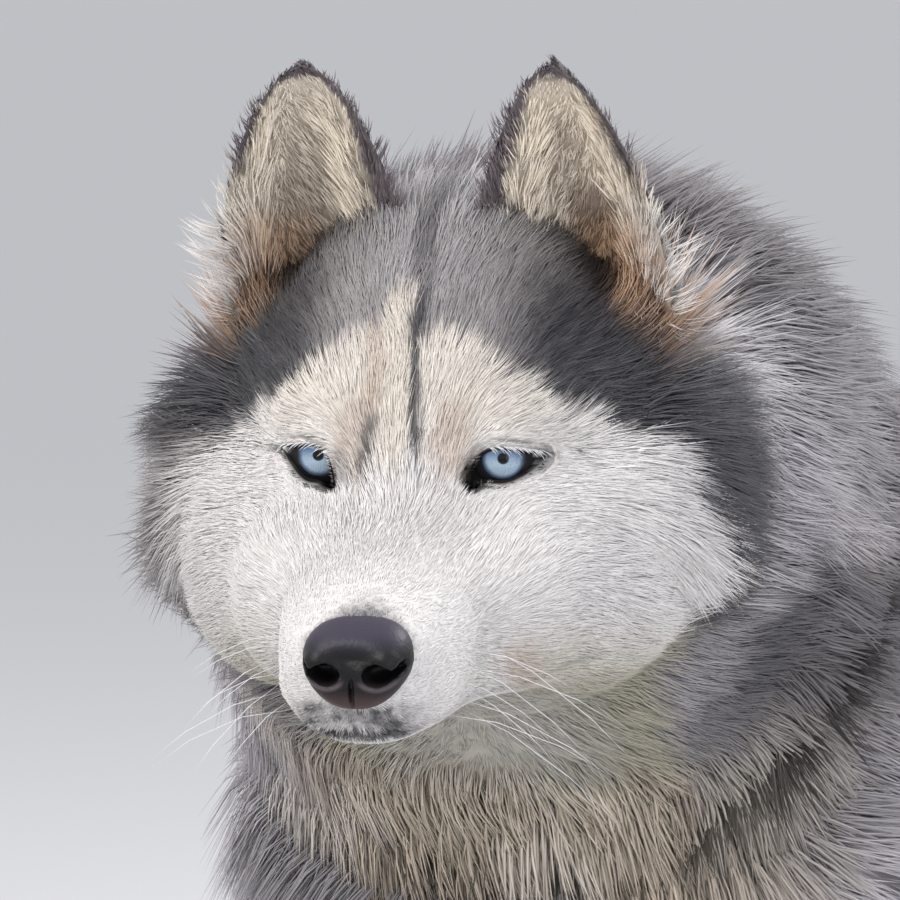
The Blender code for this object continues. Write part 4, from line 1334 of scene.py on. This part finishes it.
def combed(tree, roots, normals, draw, seed, pull):
    """The path of each hair from under the skin to its tip, and its width."""
    length, width, rise = hair_sizes(roots)
    number = len(roots)
    length = length * draw.uniform(0.72, 1.18, number) * settings().hair_length * MM
    width = width * draw.uniform(0.75, 1.25, number) * MM
    way = along_skin(flow(roots), normals)
    sway = waves(roots, 0.030, seed + 1) * 0.22 + draw.normal(0, 0.13, number)
    way = unit(way + np.cross(normals, way) * sway[:, None])
    lift = np.clip(rise * draw.uniform(0.6, 1.35, number), 0.05, 1.2)
    tips = roots + way * length[:, None] + normals * (lift * length * 0.72)[:, None]
    tips = gathered(roots, tips, pull, 0.06, draw)
    reach = np.linalg.norm(tips - roots, axis=1)
    tips = roots + (tips - roots) * np.minimum(1, 1.12 * length / reach)[:, None]
    tips = over_skin(tree, tips, 0.0004 + 0.30 * lift * length)
    bow = lift * length * 0.7 * BEND * (1 - BEND)
    middle = roots + (tips - roots) * BEND + normals * bow[:, None]
    middle = over_skin(tree, middle, 0.0003 + 0.30 * BEND * lift * length)
    return np.stack([roots - normals * 0.0012, middle, tips], 1), width


def hair_colours(roots, normals, draw):
    """The coat's colour at each root, varied from hair to hair."""
    number = len(roots)
    colours = coat_colours(roots, normals) * np.exp(draw.normal(0, 0.07, number))[:, None]
    guard = (draw.random(number) < 0.22) & (colours.mean(1) < 0.55)
    return np.where(guard[:, None], colours * draw.uniform(0.55, 1.25, (number, 1)), colours)


def grow(region, density, seed, roughness, parts, pull):
    """Hair over one region of the skin, split into like pieces."""
    look = coat_look(region + " hair", roughness)
    count = getattr(settings(), region + "_hairs")
    draw = np.random.default_rng(seed)
    skin = bpy.data.objects["skin"]
    tree = tree_of(skin)
    roots, normals = sample(skin, int(count * 1.15), draw, density)
    good = bare_of_hair(roots) & in_the_open(tree, roots, normals)
    roots, normals = roots[good][:count], normals[good][:count]
    paths, widths = combed(tree, roots, normals, draw, seed, pull)
    each = (paths, normals, widths, hair_colours(roots, normals, draw), unwrap(roots))
    for i in range(parts):
        hair = hair_mesh(f"{region}_coat_{i + 1}", *(values[i::parts] for values in each))
        hold(hair, "coat", look.material)
    return {"FINISHED"}


def settings():
    return bpy.context.scene.husky


class HuskySizes(bpy.types.PropertyGroup):
    head_voxel: FloatProperty(name="Head detail", description="Grain of the head's skin",
                              default=0.0021, unit="LENGTH", precision=4)
    body_voxel: FloatProperty(name="Body detail", description="Grain of the body's skin",
                              default=0.0048, unit="LENGTH", precision=4)
    nose_voxel: FloatProperty(name="Nose detail", description="Grain of the nose leather",
                              default=0.0007, unit="LENGTH", precision=4)
    face_hairs: IntProperty(name="Face hairs", description="Short hairs on the face", default=84000)
    ruff_hairs: IntProperty(name="Ruff hairs", description="Long hairs of ruff and neck",
                            default=86000)
    body_hairs: IntProperty(name="Body hairs", description="Tufts over body, legs and tail",
                            default=62000)
    ear_hairs: IntProperty(name="Ear hairs", description="Hairs on both ears", default=16000)
    whiskers: IntProperty(name="Whiskers", description="Whiskers on each side", default=9)
    hair_length: FloatProperty(name="Hair length", description="Length against a normal coat",
                               default=1.0, subtype="FACTOR", min=0.3, max=1.5)
    key_power: FloatProperty(name="Key light", description="Power of the main light",
                             default=46.0, unit="POWER")
    floor_colour: FloatVectorProperty(name="Floor colour", description="Colour of the floor",
                                      default=(0.62, 0.62, 0.63), subtype="COLOR", size=3)


class HUSKY_OT_skin(bpy.types.Operator):
    """Builds the skin of the whole animal, under its coat"""

    bl_idname = "husky.skin"
    bl_label = "Skin"

    def execute(self, context):
        sizes = settings()
        head = melted("head_skin", head_forms(), sizes.head_voxel, 6)
        u, f, h = head_place(points_of(head)).T
        cheeks = band(-f, -62, -30, 90, 120) * step(-h, -6, 22)
        cheeks = np.maximum(cheeks, 0.6 * step(-f, -94, -70) * step(-h, 52, 66) * (f > -40))
        stop = band(-f, -40, -16, 10, 30) * fall(np.abs(u), 16, 30)
        eased(head, np.maximum(cheeks, 0.5 * stop), 240)
        tree = tree_of(head)
        lids = [lid_sheet(side, tree) for side in (-1, 1)]
        for side in (-1, 1):
            _, gaze = eye_centre(side)
            middle = slit_outline(side, 4.5)
            cut(head, loft("pocket", [middle + gaze * 0.001, middle + gaze * 0.022]))
        body = melted("body_skin", body_forms(), sizes.body_voxel, 3)
        linings = [self.lining(side) for side in (-1, 1)]
        skin = joined("skin", [head, body, *lids, *linings])
        round_off(skin)
        points = points_of(skin)
        points[:, 2] = np.maximum(points[:, 2], 0.0004)
        write(skin.data.vertices, "co", points)
        # The skin under the coat is painted at 0.82 of the coat's colour, as painted shade deep in the
        # fur
        colour_attribute(skin, coat_colours(points, normals_of(skin)) * 0.82)
        hold(skin, "coat", coat_look("skin", 0.9).material, *FLESH)
        return {"FINISHED"}

    def lining(self, side):
        """Dark flesh behind the corners of an eye."""
        centre, gaze = eye_centre(side)
        outward, _, up = eye_axes(side)
        return ball("lining", centre - gaze * 0.003, (0.016, 0.011, 0.016), axes(outward, gaze, up))


class HUSKY_OT_eyes(bpy.types.Operator):
    """Builds both eyes, with iris, pupil and bulging cornea"""

    bl_idname = "husky.eyes"
    bl_label = "Eyes"

    def execute(self, context):
        look = eye_look()
        for side, word in SIDES:
            centre, gaze = eye_centre(side)
            right = unit(np.cross(gaze, (0, 0, 1)))
            up = np.cross(right, gaze)
            tilt = axes(right, gaze, up) @ Matrix.Rotation(-math.pi / 2, 3, "X")
            eye = ball("visible_eye_" + word, centre, (GLOBE * MM,) * 3, tilt, 96, 128)
            points = points_of(eye)
            local = (points - centre) / MM
            around = np.hypot(local @ right, local @ up)
            swell = np.clip(1 - (around / 7.6) ** 2, 0, 1) * 1.1 * (local @ gaze > 0)
            points += np.outer(swell, gaze) * MM
            write(eye.data.vertices, "co", points)
            place = np.stack([local @ right, local @ gaze, local @ up], 1)
            point_values(eye, "Gaze", "FLOAT_VECTOR", "vector", place)
            round_off(eye)
            hold(eye, "eye", look.material, "eye_" + word)
        return {"FINISHED"}


class HUSKY_OT_nose(bpy.types.Operator):
    """Builds the nose pad, with its nostrils"""

    bl_idname = "husky.nose"
    bl_label = "Nose"

    def execute(self, context):
        pad = round_off(nose_shape(settings().nose_voxel))
        u, f, h = (head_place(points_of(pad)) - NOSE_AT).T
        # Painted shade: the insides of the nostrils and the groove between them darkened towards black
        deep = pale = 0
        for side in (-1, 1):
            across = np.hypot((u - side * NOSTRIL_OUT) / NOSTRIL_WIDE, (h - NOSTRIL_LOW) / NOSTRIL_TALL)
            near = np.exp(-(((across - 1.22) / 0.16) ** 2)) * step(-h, 1.5, 4)
            pale = np.maximum(pale, 0.42 * near)
            deep = np.maximum(deep, fall(across, 0.7, 1.1) * fall(f, 10.0, 12.5))
        groove = fall(np.abs(u), 0.3, 1.1) * step(-h, -2, 3)
        deep = np.maximum(deep, 0.35 * groove)
        point_values(pad, "HollowShade", "FLOAT", "value", deep)
        point_values(pad, "Rim", "FLOAT", "value", pale)
        hold(pad, "nose", nose_look().material, "nose")
        return {"FINISHED"}


class HUSKY_OT_ears(bpy.types.Operator):
    """Builds both ears and the hair on them"""

    bl_idname = "husky.ears"
    bl_label = "Ears"

    def execute(self, context):
        look = coat_look("ear", 0.85)
        for side, word in SIDES:
            ear = round_off(ear_shape(side))
            ear.name = "visible_ear_" + word
            points = points_of(ear)
            colours, _ = ear_colours(points, normals_of(ear), side)
            # The ear's skin is painted at 0.9 of its hair colour, as painted shade under the hair
            colour_attribute(ear, colours * 0.9)
            hold(ear, "coat", look.material, "ear_" + word)
            self.cover(ear, side, word, look)
        return {"FINISHED"}

    def lie(self, t, tuft, border, back):
        """Which way the hair of a left ear lies, in the head's own axes."""
        inside = mix((0.35, 0.45, 0.8), (-0.25, 0.5, 0.8), step(t, 0.0, 0.5))
        inside = mix(inside, ways(0.35 * np.sign(t), 0.15, 1), border)
        inside = mix(inside, (1.0, -0.2, 0.75), tuft)
        return mix(inside, (0, -0.1, 1), back)

    def cover(self, ear, side, word, look):
        """Hair over one ear, longest inside its outer edge."""
        draw = np.random.default_rng(50 + side)
        count = settings().ear_hairs // 2
        roots, normals = sample(ear, count, draw, lambda p: np.ones(len(p)))
        rise, t = ear_place(roots, side)
        colours, back = ear_colours(roots, normals, side)
        tuft = step(t, 0.5, 0.85) * fall(rise, 0.2, 0.48)
        border = step(np.abs(t), 0.66, 0.8) * (1 - back)
        way = along_skin(self.lie(t, tuft, border, back) * (side, 1, 1) @ HEAD, normals)
        edge = step(np.abs(t), 0.4, 0.6) * (1 - border) * (1 - back)
        length = 4.5 + 11 * (1 - back) * (0.35 + edge) * fall(rise, 0.55, 0.95)
        colours = mix(colours, linear(WHITE), 0.85 * tuft)
        length = (length + 9 * tuft) * draw.uniform(0.7, 1.3, count) * MM
        lift = np.where(back > 0.5, 0.25, 0.42) * draw.uniform(0.5, 1.4, count)
        sway = np.cross(normals, way) * draw.normal(0, 0.16, count)[:, None]
        tips = roots + unit(way + sway) * length[:, None] + normals * (lift * length)[:, None]
        tips = gathered(roots, tips, 0.35, 0.05, draw)
        middle = roots + (tips - roots) * BEND + normals * (lift * length * 0.2)[:, None]
        paths = np.stack([roots - normals * 0.0006, middle, tips], 1)
        colours = colours * np.exp(draw.normal(0, 0.10, count))[:, None]
        places = np.stack([0.5 + 0.45 * t * np.where(back > 0.5, -1, 1), 0.02 + 0.46 * rise], 1)
        places[:, 1] += np.where(back > 0.5, 0.5, 0)
        widths = np.full(count, 0.50 * MM) * draw.uniform(0.7, 1.3, count)
        hair = hair_mesh("ear_coat_" + word, paths, normals, widths, colours,
                         np.clip(places, 0.002, 0.998))
        hold(hair, "coat", look.material)


class HUSKY_OT_whiskers(bpy.types.Operator):
    """Builds the whiskers and lashes"""

    bl_idname = "husky.whiskers"
    bl_label = "Whiskers"

    def execute(self, context):
        draw = np.random.default_rng(77)
        tree = tree_of(bpy.data.objects["skin"])
        found = []
        for side in (-1, 1):
            found += [self.whisker(i, side, tree, draw) for i in range(settings().whiskers)]
            found += self.lashes(side, draw)
        roots, aims, lengths = (np.array(part) for part in zip(*found))
        droop = -UP * 0.34
        paths = [roots - aims * 0.001]
        for t in (0.35, 0.72, 1.0):
            paths.append(roots + aims * (lengths * t)[:, None] + np.outer(lengths * t * t, droop))
        normals = unit(np.tile(FORWARD + UP, (len(aims), 1)) + LEFT * np.sign(aims @ LEFT)[:, None])
        colours = np.tile(linear((236, 234, 236)), (len(roots), 1))
        widths = np.where(lengths > 0.012, 0.27, 0.20) * MM
        hair = hair_mesh("whiskers", np.stack(paths, 1), normals, widths,
                         colours, unwrap(roots), thin=0.6)
        hold(hair, "coat", coat_look("whisker", 0.4).material)
        return {"FINISHED"}

    def whisker(self, number, side, tree, draw):
        """The root, aim and length of one whisker, in four rows."""
        row, place = number % 4, number // 4
        start = head_point(side * 90, 74 - 9 * place + 3 * row, -44 - 5.2 * row)
        hit = tree.ray_cast(Vector(start), Vector(-LEFT * side))[0]
        if hit is None:
            raise RuntimeError("a whisker found no skin to stand on")
        aim = np.array((side * draw.uniform(0.8, 1.1), draw.uniform(-0.5, 0.0),
                        draw.uniform(-0.6, -0.1)))
        return np.array(hit), unit(aim) @ HEAD, draw.uniform(34, 62) * MM

    def lashes(self, side, draw):
        """The root, aim and length of each lash of an upper lid."""
        outward, gaze, up = eye_axes(side)
        line = on_globe(side, slit_outline(side, 1.6), 1.8)
        plane = lid_line(side, 1.6)
        found = []
        for i in np.flatnonzero((plane[:, 1] > 1.5) & (plane[:, 0] > -6)):
            for _ in range(3 if side > 0 else 1):
                root = line[i] + outward * draw.uniform(-0.6, 0.6) * MM
                lean = outward * draw.uniform(0.5, 1.2) - up * draw.uniform(0.0, 0.5)
                aim = unit(lean + gaze * draw.uniform(0.5, 0.8))
                found.append((root, aim, draw.uniform(3.0, 5.5) * MM))
        return found


class HUSKY_OT_claws(bpy.types.Operator):
    """Builds the claws of all four paws"""

    bl_idname = "husky.claws"
    bl_label = "Claws"

    def execute(self, context):
        claws = []
        for side in (-1, 1):
            for rows in (FORELEG, HINDLEG):
                claws += [self.claw(x, y - TOE * 0.9) for x, y in toes(*paw_place(rows, side), side)]
        obj = round_off(joined("claws", claws))
        hold(obj, "coat", Look("claw", (52, 44, 42), 0.35).material)
        return {"FINISHED"}

    def claw(self, x, y):
        rings = []
        for t in np.linspace(0, 1, 7):
            at = on_floor(x, y - 0.010 * t, 0.0115 - 0.0085 * t * t)
            reach = [r * (1.05 - t) + 0.0002 for r in (0.0021, 0.0027, 0.0023)]
            rings.append(oval(at, ACROSS, ABOVE, *reach, 1.0, 12))
        return loft("claw", rings)


def bare_of_hair(points):
    """True where hair may grow: off the nose and the edges of the lids."""
    u, f, h = head_place(points).T
    over = h - NOSE_AT[2]
    wide = NOSE_WIDE - 5.2 * step(-over, 0, 12)
    nose = (np.hypot((u - NOSE_AT[0]) / wide, over / NOSE_TALL) < 1) & (f > 85)
    return ~(nose | (lid_gap(points) < 0.8))


def face_density(points):
    return step(head_place(points)[:, 1], -84, -30) * head_share(points)


def ruff_density(points):
    f, y = head_place(points)[:, 1], (points - SHIFT)[:, 1]
    start = step(-f + 12 * waves(points, 0.03, 14), 2, 52)
    return start * fall(y, -0.24, -0.16) * (0.4 + 0.6 * step(-y, 0.24, 0.34))


def body_density(points):
    _, y, z = (points - SHIFT).T
    legs = fall(z, 0.22, 0.32) * (y < TAIL_START)
    return step(y, -0.26, -0.18) * (1 + 2.2 * legs) + (y < -0.18) * legs * 3.2


class HUSKY_OT_face_coat(bpy.types.Operator):
    """Grows the short hair of the face"""

    bl_idname = "husky.face_coat"
    bl_label = "Face hair"

    def execute(self, context):
        return grow("face", face_density, seed=11, roughness=0.55, parts=3, pull=0.25)


class HUSKY_OT_ruff_coat(bpy.types.Operator):
    """Grows the long hair of the ruff, neck and chest"""

    bl_idname = "husky.ruff_coat"
    bl_label = "Ruff hair"

    def execute(self, context):
        return grow("ruff", ruff_density, seed=21, roughness=0.55, parts=3, pull=0.5)


class HUSKY_OT_body_coat(bpy.types.Operator):
    """Grows the coat of the body, legs and tail"""

    bl_idname = "husky.body_coat"
    bl_label = "Body hair"

    def execute(self, context):
        return grow("body", body_density, seed=31, roughness=0.6, parts=2, pull=0.4)


def aimed_light(name, offset, size, power, colour):
    """A lamp at a distance from the eyes, turned to face them."""
    eyes = Vector(EYES)
    place = eyes + Vector(offset)
    activate()
    bpy.ops.object.light_add(type="AREA", location=place)
    lamp = named(name)
    lamp.data.size = size
    lamp.data.energy = power
    lamp.data.color = colour
    lamp.rotation_euler = (eyes - place).to_track_quat("-Z", "Y").to_euler()


class HUSKY_OT_stage(bpy.types.Operator):
    """Builds the floor, the lights and the camera"""

    bl_idname = "husky.stage"
    bl_label = "Stage"

    def execute(self, context):
        sizes = settings()
        activate()
        bpy.ops.mesh.primitive_circle_add(vertices=96, radius=120, fill_type="NGON")
        floor = named("floor")
        look = Look("floor", (200, 200, 200), 0.9)
        look.shader.inputs["Base Color"].default_value = (*sizes.floor_colour, 1)
        floor.data.materials.append(look.material)
        for name, offset, size, share, colour in LAMPS:
            aimed_light(name, offset, size, sizes.key_power * share, colour)
        world = bpy.data.worlds.new("soft")
        world.use_nodes = True
        sky = world.node_tree.nodes["Background"]
        sky.inputs["Color"].default_value = (0.95, 0.96, 1.0, 1)
        sky.inputs["Strength"].default_value = 0.84
        context.scene.world = world
        self.camera(context)
        context.scene.view_settings.view_transform = "Standard"
        return {"FINISHED"}

    def camera(self, context):
        back = Vector((math.sin(VIEW_TURN) * math.cos(VIEW_RISE),
                       -math.cos(VIEW_TURN) * math.cos(VIEW_RISE), math.sin(VIEW_RISE)))
        right = Vector((math.cos(VIEW_TURN), math.sin(VIEW_TURN), 0))
        up = back.cross(right)
        aim = Vector(EYES) + right * (AIM_RIGHT * VIEW_WIDE) + up * (AIM_UP * VIEW_WIDE)
        activate()
        bpy.ops.object.camera_add(location=aim + back * VIEW_FAR)
        camera = bpy.context.object
        camera.rotation_euler = (-back).to_track_quat("-Z", "Y").to_euler()
        camera.data.lens = camera.data.sensor_width * VIEW_FAR / VIEW_WIDE
        context.scene.camera = camera


PIECES = (HUSKY_OT_skin, HUSKY_OT_eyes, HUSKY_OT_nose, HUSKY_OT_ears, HUSKY_OT_whiskers,
          HUSKY_OT_claws, HUSKY_OT_face_coat, HUSKY_OT_ruff_coat, HUSKY_OT_body_coat,
          HUSKY_OT_stage)


class HUSKY_PT_panel(bpy.types.Panel):
    """Lists the pieces and their sizes"""

    bl_idname = "HUSKY_PT_panel"
    bl_label = "Standing husky"
    bl_space_type = "VIEW_3D"
    bl_region_type = "UI"
    bl_category = "Husky"

    def draw(self, context):
        for name in HuskySizes.__annotations__:
            self.layout.prop(context.scene.husky, name)
        for piece in PIECES:
            self.layout.operator(piece.bl_idname)


CLASSES = (HuskySizes, *PIECES, HUSKY_PT_panel)


def register():
    for cls in CLASSES:
        bpy.utils.register_class(cls)
    bpy.types.Scene.husky = PointerProperty(type=HuskySizes)


def unregister():
    del bpy.types.Scene.husky
    for cls in reversed(CLASSES):
        bpy.utils.unregister_class(cls)


def main():
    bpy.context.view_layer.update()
    register()
    for piece in PIECES:
        group, name = piece.bl_idname.split(".")
        getattr(getattr(bpy.ops, group), name)()


if __name__ == "__main__":
    main()
